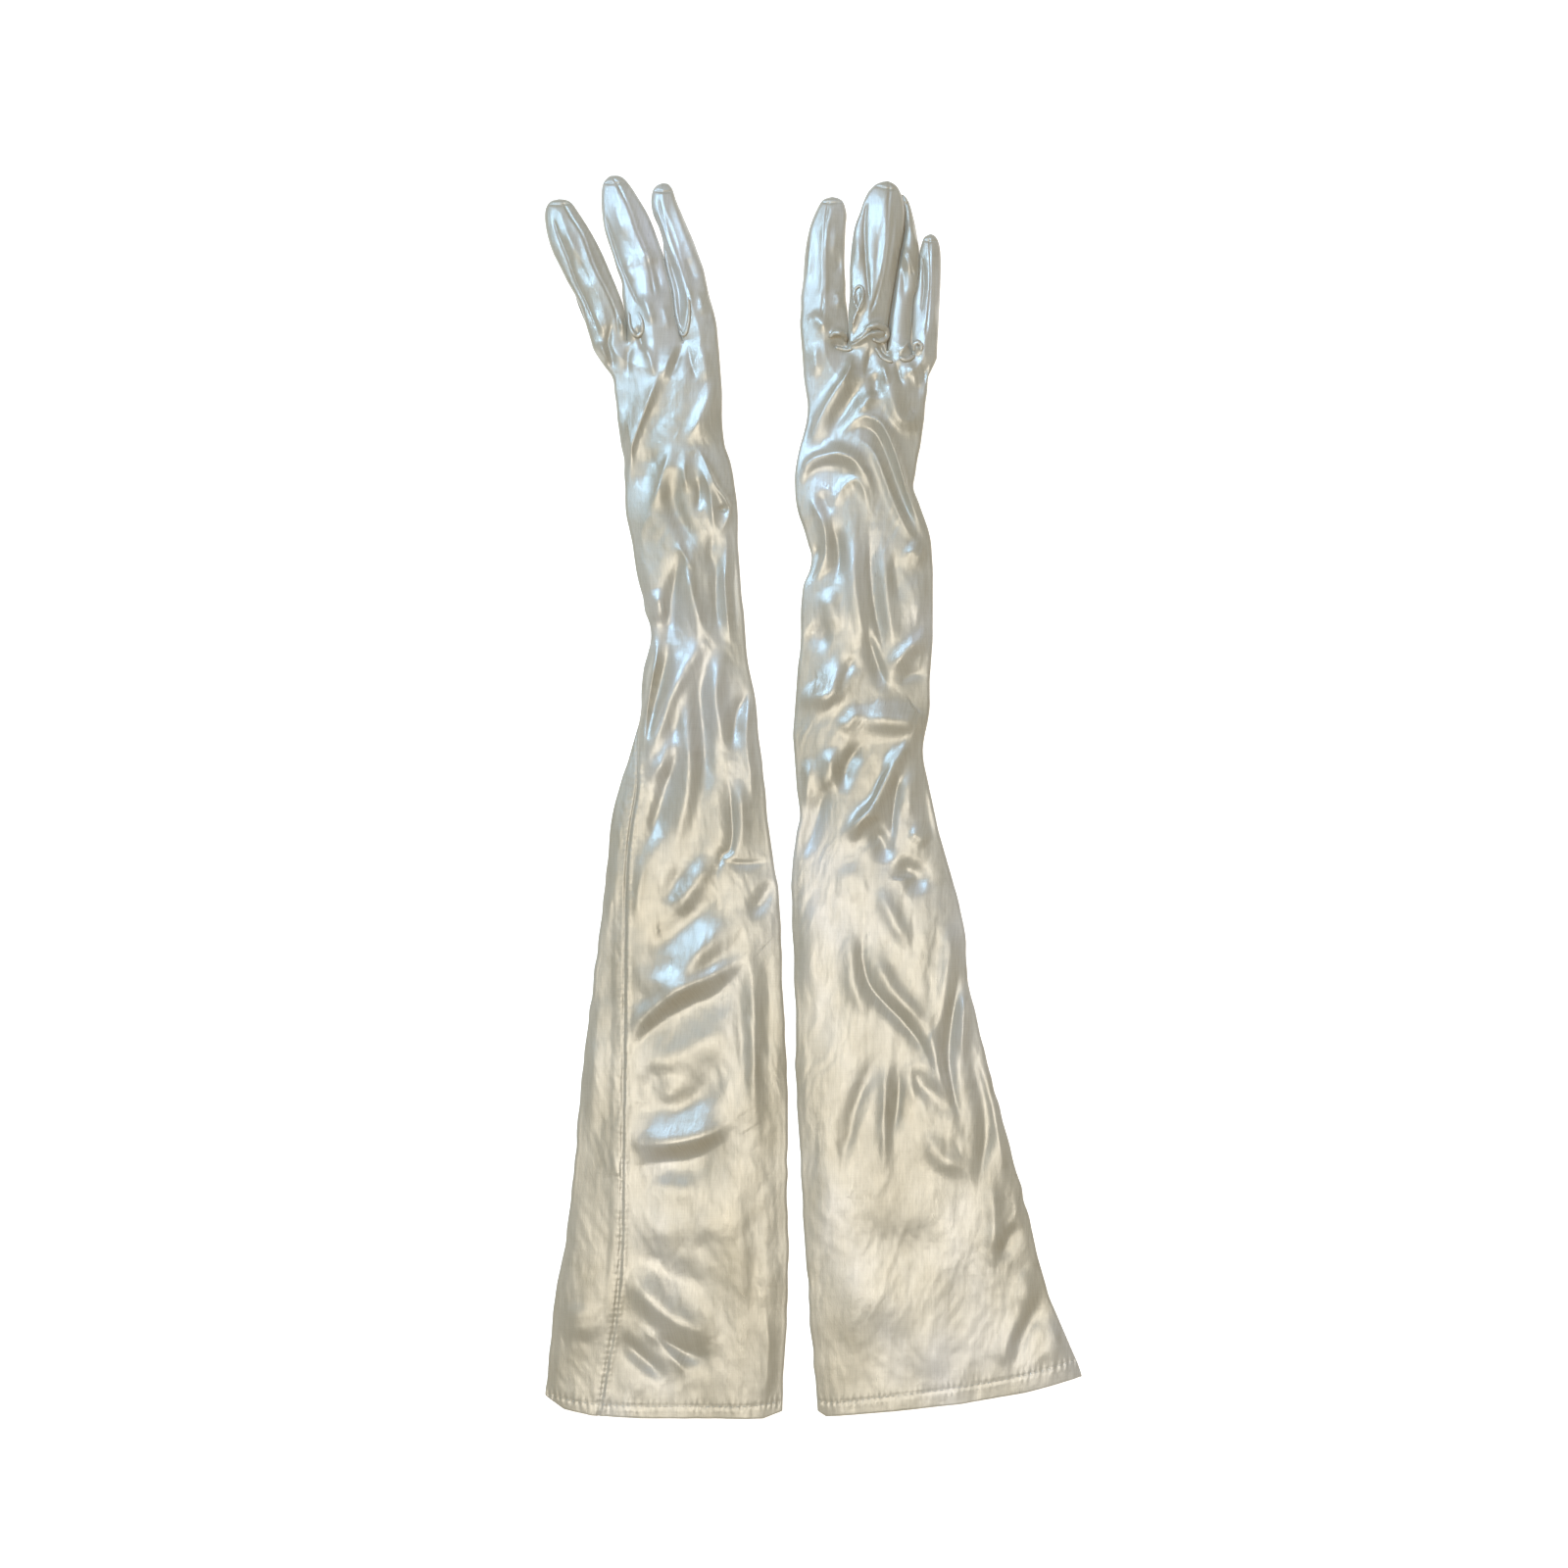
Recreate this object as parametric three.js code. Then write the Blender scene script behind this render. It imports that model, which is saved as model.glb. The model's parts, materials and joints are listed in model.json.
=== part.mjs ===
// Pair of long satin opera gloves lying flat, backs of the hands up.
// Millimetres, +Z up, z = 0 is the surface that the gloves lie on.
// +Y runs from the arm openings to the fingertips, +X from the left glove to the right glove.
import * as THREE from 'three';
import { mergeVertices } from 'three/addons/utils/BufferGeometryUtils.js';

// ---- driving dimensions -------------------------------------------------------------------
const WALL = 0.9;            // thickness of a sleeve, palm or hand panel
const FINGER_WALL = 0.8;     // thickness of a finger strip
const GAP = 0.3;             // clearance between pieces that touch
const ARM_TOP = 10.0;        // highest point of the sleeve
const HAND_TOP = 10.0;       // highest point of the back of the hand
const PALM_LIFT = 2.8;       // height that the palm is held at by the thumb tucked beneath it
const FLAT_TOP = 2.5;        // height of a finger or thumb that lies pressed flat
const HEM_WIDTH = 9;         // depth of the turned-up hem
const ALLOWANCE_WIDTH = 6;   // width of the side-seam allowance

// ---- colours ------------------------------------------------------------------------------
const IVORY = 0xded8c8;
const IVORY_SHADE = 0xcfc9b8;
const IVORY_LIGHT = 0xe8e3d6;

// ---- outlines -----------------------------------------------------------------------------
// Each row is [x left, y left, x right, y right, bow]; bow moves the middle of the row along Y.
const OUTLINE = {
  left_upper_arm: [
    [-115.25, -116.4, -14.75, -116.4, 0],
    [-119.25, -150.75, -13.25, -150.75, 0],
    [-122.25, -185.75, -13.75, -185.75, 0],
    [-126.25, -220.75, -13.25, -220.75, 0],
    [-132.25, -255.75, -13.25, -255.75, 0],
    [-135.25, -283.75, -14.25, -283.75, 0],
    [-137.25, -305.75, -15.5, -313.25, -6.7],
  ],
  left_forearm: [
    [-91.25, 118.6, -37.75, 118.6, 0],
    [-86.75, 96.25, -36, 96.25, 0],
    [-83.25, 80.25, -34.75, 80.25, 0],
    [-86.75, 66.25, -33.25, 66.25, 0],
    [-88.25, 45.25, -29.25, 45.25, 0],
    [-95.25, 17.25, -26.25, 17.25, 0],
    [-104.75, -24.75, -21.75, -24.75, 0],
    [-110.25, -73.75, -16.75, -73.75, 0],
    [-115.25, -116.1, -14.75, -116.1, 0],
  ],
  left_hand: [
    [-113.75, 231.95, -48.75, 231.95, 0],
    [-107.75, 220.25, -47.75, 220.25, 0],
    [-102.25, 206.25, -46.75, 206.25, 0],
    [-98.25, 181.25, -45.75, 181.25, 0],
    [-96.25, 156.25, -40.25, 156.25, 0],
    [-94.25, 136.25, -38.75, 136.25, 0],
    [-91.25, 118.9, -37.75, 118.9, 0],
  ],
  right_upper_arm: [
    [-9.25, -116.4, 83.75, -116.4, 0],
    [-8.75, -150.75, 92.25, -150.75, 0],
    [-6.75, -185.75, 101.75, -185.75, 0],
    [-5.25, -220.75, 111.25, -220.75, 0],
    [-2.75, -255.75, 120.25, -255.75, 0],
    [-0.75, -279.75, 129.75, -276.75, 0],
    [0.75, -297.75, 136.25, -288.25, -2],
    [2.75, -316.25, 137.25, -296.75, -4],
  ],
  right_forearm: [
    [-1.75, 118.6, 60.75, 118.6, 0],
    [-6.25, 101.25, 60.75, 101.25, 0],
    [-6.75, 80.25, 60.75, 80.25, 0],
    [-8.75, 59.25, 59.25, 59.25, 0],
    [-10.25, 38.25, 58.25, 38.25, 0],
    [-10.25, 17.25, 56.25, 17.25, 0],
    [-7.25, -10.75, 62.25, -10.75, 0],
    [-11.75, -45.75, 71.75, -45.75, 0],
    [-10.25, -80.75, 77.75, -80.75, 0],
    [-9.25, -116.1, 83.75, -116.1, 0],
  ],
  right_hand: [
    [-6.75, 233.25, 60.75, 223.25, 0],
    [-5.75, 220.25, 59.75, 214.25, 0],
    [-4.75, 206.25, 57.75, 205.25, 0],
    [-3.75, 192.25, 56.25, 192.25, 0],
    [-7.25, 178.25, 54.25, 178.25, 0],
    [-9.75, 164.25, 51.75, 164.25, 0],
    [-9.25, 150.25, 53.25, 150.25, 0],
    [-5.25, 136.25, 58.25, 136.25, 0],
    [-1.75, 118.9, 60.75, 118.9, 0],
  ],
  left_ring: [
    [-113.75, 232.3, -96.25, 232.3, 0],
    [-118.25, 247.25, -98.75, 250.25, 0],
    [-122.25, 257.75, -100.5, 262.75, 0],
    [-127.75, 268.75, -105.25, 273.25, 0],
    [-134.25, 281.75, -111.25, 284.75, 0],
    [-136.75, 292.25, -115.75, 294.75, 0],
    [-133.75, 302.75, -123.25, 304.25, 0],
  ],
  left_middle: [
    [-94.25, 232.3, -67.25, 232.3, 0],
    [-95.5, 243.75, -70.25, 247.25, 0],
    [-97.5, 256.25, -73, 260.25, 0],
    [-100.25, 266.75, -76, 272.25, 0],
    [-103.75, 278.25, -78.5, 282.25, 0],
    [-106.75, 293.25, -83.75, 297.75, 0],
    [-108.75, 306.75, -90.75, 308.75, 0],
    [-105.25, 315.75, -98.25, 316.75, 0],
  ],
  left_index: [
    [-66.25, 232.3, -48.75, 232.3, 0],
    [-69, 243.75, -50.25, 247.25, 0],
    [-71.25, 256.25, -52.75, 260.25, 0],
    [-74.75, 270.25, -56.75, 274.25, 0],
    [-77.25, 282.25, -60.75, 286.25, 0],
    [-81.25, 296.75, -67.25, 299.75, 0],
    [-80.75, 309.75, -71.75, 311.25, 0],
  ],
  left_little: [
    [-111.5, 220.25, -95.25, 222.25, 0],
    [-115.75, 235.25, -99.25, 237.75, 0],
    [-120.25, 250.25, -103.25, 253.25, 0],
    [-124.25, 263.75, -108.75, 266.75, 0],
    [-126.75, 272.25, -115.25, 274.25, 0],
  ],
  right_index: [
    [-6.75, 233.6, 16.25, 230.19, 0],
    [-6.25, 245.25, 16.25, 245.25, 0],
    [-5.75, 260.25, 16.25, 260.25, 0],
    [-5.25, 273.75, 16, 273.75, 0],
    [-3.75, 286.25, 16.25, 286.25, 0],
    [-0.25, 297.25, 16.25, 297.25, 0],
    [6.25, 305.75, 13.25, 305.75, 0],
  ],
  right_middle: [
    [17.5, 230.01, 39.25, 226.79, 0],
    [18, 243.75, 40.25, 242.75, 0],
    [18.25, 256.25, 41.25, 254.25, 0],
    [18.75, 268.75, 42.25, 267.25, 0],
    [19.5, 281.25, 44.25, 279.75, 0],
    [22.25, 293.25, 45.75, 292.25, 0],
    [26.25, 303.25, 45.75, 302.25, 0],
    [32.75, 312.5, 41.25, 312.25, 0],
  ],
  right_ring: [
    [29.25, 228.27, 49.75, 225.23, 0],
    [30.75, 243.75, 51.25, 243.75, 0],
    [31.75, 256.25, 52.75, 256.25, 0],
    [32.75, 268.75, 53.75, 268.75, 0],
    [33.75, 281.25, 53.75, 281.25, 0],
    [35.25, 293.75, 51.25, 294.75, 0],
    [37.25, 302.75, 47.25, 304.75, 0],
  ],
  right_little: [
    [51, 225.04, 60.75, 223.6, 0],
    [51.75, 237.25, 62.75, 237.25, 0],
    [53.25, 248.75, 63.75, 248.75, 0],
    [53.9, 261.25, 64.5, 261.25, 0],
    [54.25, 273.75, 64.5, 273.75, 0],
    [55.25, 281.75, 63, 281.75, 0],
    [57, 286.25, 61.25, 286.25, 0],
  ],
  left_thumb: [
    [-56.75, 135.8, -41.95, 143.3, 0],
    [-62.5, 140.05, -42, 150.45, 0],
    [-71.75, 160.45, -53.05, 169.95, 0],
    [-81.15, 182.2, -65.1, 190.35, 0],
    [-85, 195.3, -73.45, 201.2, 0],
    [-84.45, 200.6, -78.05, 203.9, 0],
  ],
  right_thumb: [
    [-7.35, 144.55, 7.45, 137.15, 0],
    [-7.55, 151.4, 13.05, 141.1, 0],
    [2.8, 169.85, 21.6, 160.45, 0],
    [14.15, 189.15, 30.25, 181.1, 0],
    [22.05, 199.35, 33.65, 193.55, 0],
    [26.55, 201.85, 32.95, 198.65, 0],
  ],
};

// Folded (outer) edge of each finger that has one: 'l' is the -X edge, 'r' the +X edge.
const FOLD = { left_index: 'r', left_little: 'l', right_index: 'l', right_little: 'r' };

// ---- geometry helpers ---------------------------------------------------------------------
const lerp = (a, b, t) => a + (b - a) * t;
// Piecewise-linear table lookup: table is [[t, value], ...] with rising t.
function table(tab, t) {
  for (let i = 1; i < tab.length; i++) {
    if (t <= tab[i][0]) {
      const [t0, v0] = tab[i - 1];
      const [t1, v1] = tab[i];
      return lerp(v0, v1, (t - t0) / (t1 - t0));
    }
  }
  return tab[tab.length - 1][1];
}
// Point of an outline: u across (0 left, 1 right), row by index.
function rowPoint(row, u) {
  const [xl, yl, xr, yr, bow] = row;
  return [lerp(xl, xr, u), lerp(yl, yr, u) + bow * 4 * u * (1 - u)];
}
// A slab that follows an outline. us lists the stations across; zb and zt give the heights of
// its underside and top at (u, v), where v is the fraction of the length from the first row.
function slab(rows, us, zb, zt) {
  const nx = us.length - 1;
  const ny = rows.length - 1;
  const g = new THREE.BoxGeometry(1, 1, 1, nx, ny, 1);
  g.deleteAttribute('normal');
  g.deleteAttribute('uv');
  const length = [0];
  for (let j = 1; j <= ny; j++) {
    const a = rowPoint(rows[j - 1], 0.5);
    const b = rowPoint(rows[j], 0.5);
    length.push(length[j - 1] + Math.hypot(b[0] - a[0], b[1] - a[1]));
  }
  const p = g.attributes.position;
  // rows that run towards -Y keep the box's own orientation; rows towards +Y are read reversed
  const down = rowPoint(rows[ny], 0.5)[1] < rowPoint(rows[0], 0.5)[1];
  for (let i = 0; i < p.count; i++) {
    const ui = Math.round((p.getX(i) + 0.5) * nx);
    const vi = Math.round((p.getY(i) + 0.5) * ny);
    const j = down ? ny - vi : vi;
    const u = us[ui];
    const v = length[j] / length[ny];
    const [x, y] = rowPoint(rows[j], u);
    p.setXYZ(i, x, y, p.getZ(i) > 0 ? zt(u, v, j) : zb(u, v, j));
  }
  return mergeVertices(g, 1e-4);
}
// A row list trimmed to a strip between two fractions of the width, given row by row.
const strip = (rows, fn) => rows.map((r, j) => {
  const [a, b] = fn(j, r);
  const [xa, ya] = rowPoint(r, a);
  const [xb, yb] = rowPoint(r, b);
  return [xa, ya, xb, yb, 0];
});
const widthOf = (r) => Math.hypot(r[2] - r[0], r[3] - r[1]);

const model = new THREE.Group();
model.name = 'opera_gloves';
const roots = {};
function add(group, name, geometry, color) {
  const m = new THREE.Mesh(geometry, new THREE.MeshStandardMaterial({
    color, roughness: 0.34, metalness: 0.15,
  }));
  m.name = name;
  geometry.computeVertexNormals();
  group.add(m);
  return m;
}

// ---- sleeve and hand panels -----------------------------------------------------------------
const US = [0, 0.03, 0.1, 0.32, 0.68, 0.9, 0.97, 1];
// crown of a back panel above the front panel beneath it, 0 at the side folds
const CROWN = [[0, 0], [0.03, 0.62], [0.1, 0.87], [0.32, 1], [0.68, 1], [0.9, 0.87], [0.97, 0.62], [1, 0]];
function panels(group, key, base, top) {
  const rows = OUTLINE[key];
  // base(v): height of the underside of the front panel
  const front = key.endsWith('hand') ? key.replace('hand', 'palm_panel') : key + '_front_panel';
  const ft = (v) => base(v) + WALL;
  const backTop = (u, v) => {
    const low = ft(v) + GAP + WALL;
    return low + (top - low) * table(CROWN, u);
  };
  add(group, `${key}_back_panel`, slab(rows, US, (u, v) => backTop(u, v) - WALL, backTop), IVORY);
  add(group, front, slab(rows, [0, 0.5, 1], (u, v) => base(v), (u, v) => ft(v)), IVORY_SHADE);
  return { backTop, ft };
}
const flat = () => 0;
// the palm comes down to the surface at the wrist
const palmBase = (v) => table([[0, PALM_LIFT], [0.86, PALM_LIFT], [1, 0]], v);

for (const side of ['left', 'right']) {
  const glove = new THREE.Group();
  glove.name = `${side}_glove`;
  model.add(glove);
  roots[side] = glove;

  const upper = panels(glove, `${side}_upper_arm`, flat, ARM_TOP);
  const fore = panels(glove, `${side}_forearm`, flat, ARM_TOP);
  panels(glove, `${side}_hand`, palmBase, HAND_TOP);

  // turned-up hem: the last HEM_WIDTH of the sleeve, doubled on the inside
  const rows = OUTLINE[`${side}_upper_arm`];
  const last = rows[rows.length - 1];
  const inner = [last[0] + 0.5, last[1] + HEM_WIDTH, last[2] - 0.5, last[3] + HEM_WIDTH, last[4]];
  const hemRows = [inner, last];
  const hemUS = [0.1, 0.32, 0.5, 0.68, 0.9];
  const clampTop = (u) => WALL + GAP + WALL + (ARM_TOP - 2 * WALL - GAP) * table(CROWN, u) - WALL - GAP;
  add(glove, `${side}_hem_back`,
    slab(hemRows, hemUS, (u) => clampTop(u) - FINGER_WALL, clampTop), IVORY_LIGHT);
  add(glove, `${side}_hem_front`,
    slab(hemRows, [0.06, 0.5, 0.94], () => WALL + GAP, () => WALL + GAP + FINGER_WALL), IVORY_LIGHT);

  // side-seam allowance, inside the sleeve
  for (const seg of ['upper_arm', 'forearm']) {
    const r = OUTLINE[`${side}_${seg}`];
    const use = seg === 'upper_arm' ? r.slice(0, -2) : r;
    const parts = seg === 'upper_arm' ? upper : fore;
    if (side === 'left') {
      // under the back panel, one fifth of the width in from the outer fold
      const s = strip(use, (j, row) => { const c = 0.215; const h = ALLOWANCE_WIDTH / 2 / widthOf(row); return [c - h, c + h]; });
      const z = (u, v, j) => {
        const c = 0.215; const h = ALLOWANCE_WIDTH / 2 / widthOf(use[j]);
        return parts.backTop(c + (u - 0.5) * 2 * h, 0) - WALL - 0.35;
      };
      add(glove, `${side}_${seg}_seam_allowance`, slab(s, [0, 1], (u, v, j) => z(u, v, j) - 0.7, z), IVORY_SHADE);
    } else {
      // on the front panel, close to the outer fold
      const s = strip(use, (j, row) => { const w = widthOf(row); return [1 - (ALLOWANCE_WIDTH + 5) / w, 1 - 5 / w]; });
      add(glove, `${side}_${seg}_seam_allowance`, slab(s, [0, 1], () => WALL + GAP, () => WALL + GAP + 0.7), IVORY_SHADE);
    }
  }
}

// ---- fingers --------------------------------------------------------------------------------
const FUS = [0, 0.1, 0.5, 0.9, 1];
// heights along an open finger (fractions of its length): underside of the front strip, top of the back strip
const LOW_BASE = [[0, PALM_LIFT], [0.38, 0], [1, 0]];
const STACK_BASE = [[0, PALM_LIFT], [1, PALM_LIFT]];
const TOP = [[0, HAND_TOP], [0.38, 9.4], [0.8, 7.8], [1, 2.2]];
const STACK_TOP = [[0, HAND_TOP], [0.38, 9.8], [0.82, 9.3], [1, 5.2]];

function fourchette(group, name, key, edge, base, top) {
  const rows = OUTLINE[key];
  const use = rows.slice(0, -1);
  const inset = 0.3;
  const s = strip(use, (j, r) => {
    const w = widthOf(r);
    const a = inset / w;
    const b = (inset + 0.8) / w;
    return edge === 'l' ? [a, b] : [1 - b, 1 - a];
  });
  const full = lengths(rows);
  const at = (j) => full[j] / full[rows.length - 1];
  add(group, name, slab(s, [0, 1],
    (u, v, j) => table(base, at(j)) + FINGER_WALL + GAP,
    (u, v, j) => table(top, at(j)) - FINGER_WALL - GAP - SHOULDER), IVORY_SHADE);
}
const SHOULDER = 0.35;  // the back strip is this much lower at its edges than along its middle
function lengths(rows) {
  const out = [0];
  for (let j = 1; j < rows.length; j++) {
    const a = rowPoint(rows[j - 1], 0.5);
    const b = rowPoint(rows[j], 0.5);
    out.push(out[j - 1] + Math.hypot(b[0] - a[0], b[1] - a[1]));
  }
  return out;
}

function openFinger(group, key, stacked, strips) {
  const rows = OUTLINE[key];
  const base = stacked ? STACK_BASE : LOW_BASE;
  const top = stacked ? STACK_TOP : TOP;
  const fold = FOLD[key];
  const shoulder = (u, v) => {
    const t = table(top, v);
    const low = table(base, v) + FINGER_WALL + GAP + FINGER_WALL;
    const folded = (fold === 'l' && u < 0.05) || (fold === 'r' && u > 0.95);
    if (folded) return low;
    return u < 0.05 || u > 0.95 ? Math.max(low, t - SHOULDER) : t;
  };
  add(group, `${key}_back`, slab(rows, FUS, (u, v) => shoulder(u, v) - FINGER_WALL, shoulder), IVORY);
  add(group, `${key}_front`, slab(rows, [0, 1], (u, v) => table(base, v), (u, v) => table(base, v) + FINGER_WALL), IVORY_SHADE);
  for (const [name, edge] of strips) fourchette(group, `${key}_${name}`, key, edge, base, top);
}

// A finger that lies pressed flat beneath its neighbour: two faces, fourchettes folded between them.
function flatFinger(group, key, strips) {
  const rows = OUTLINE[key];
  add(group, `${key}_back`, slab(rows, [0, 0.5, 1], () => 1.85, () => FLAT_TOP), IVORY);
  add(group, `${key}_front`, slab(rows, [0, 0.5, 1], () => 0, () => 0.65), IVORY_SHADE);
  for (const [name, edge] of strips) {
    const use = rows.slice(0, -1);
    const s = strip(use, (j, r) => {
      const w = widthOf(r);
      return edge === 'l' ? [0.5 / w, 5 / w] : [1 - 5 / w, 1 - 0.5 / w];
    });
    add(group, `${key}_${name}`, slab(s, [0, 1], () => 0.95, () => 1.55), IVORY_SHADE);
  }
}

openFinger(roots.left, 'left_index', false, [['fourchette', 'l']]);
openFinger(roots.left, 'left_middle', false, [['outer_fourchette', 'l'], ['inner_fourchette', 'r']]);
openFinger(roots.left, 'left_ring', true, [['outer_fourchette', 'l'], ['inner_fourchette', 'r']]);
flatFinger(roots.left, 'left_little', [['fourchette', 'r']]);
openFinger(roots.right, 'right_index', false, [['fourchette', 'r']]);
openFinger(roots.right, 'right_middle', true, [['inner_fourchette', 'l'], ['outer_fourchette', 'r']]);
flatFinger(roots.right, 'right_ring', [['inner_fourchette', 'l'], ['outer_fourchette', 'r']]);
openFinger(roots.right, 'right_little', false, [['fourchette', 'l']]);

// ---- thumbs: pressed flat beneath the palms ---------------------------------------------------
for (const side of ['left', 'right']) {
  const rows = OUTLINE[`${side}_thumb`];
  add(roots[side], `${side}_thumb_back`, slab(rows, [0, 0.5, 1], () => 1.4, () => FLAT_TOP), IVORY);
  add(roots[side], `${side}_thumb_front`, slab(rows, [0, 0.5, 1], () => 0, () => 1.1), IVORY_SHADE);
}

export default model;
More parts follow.
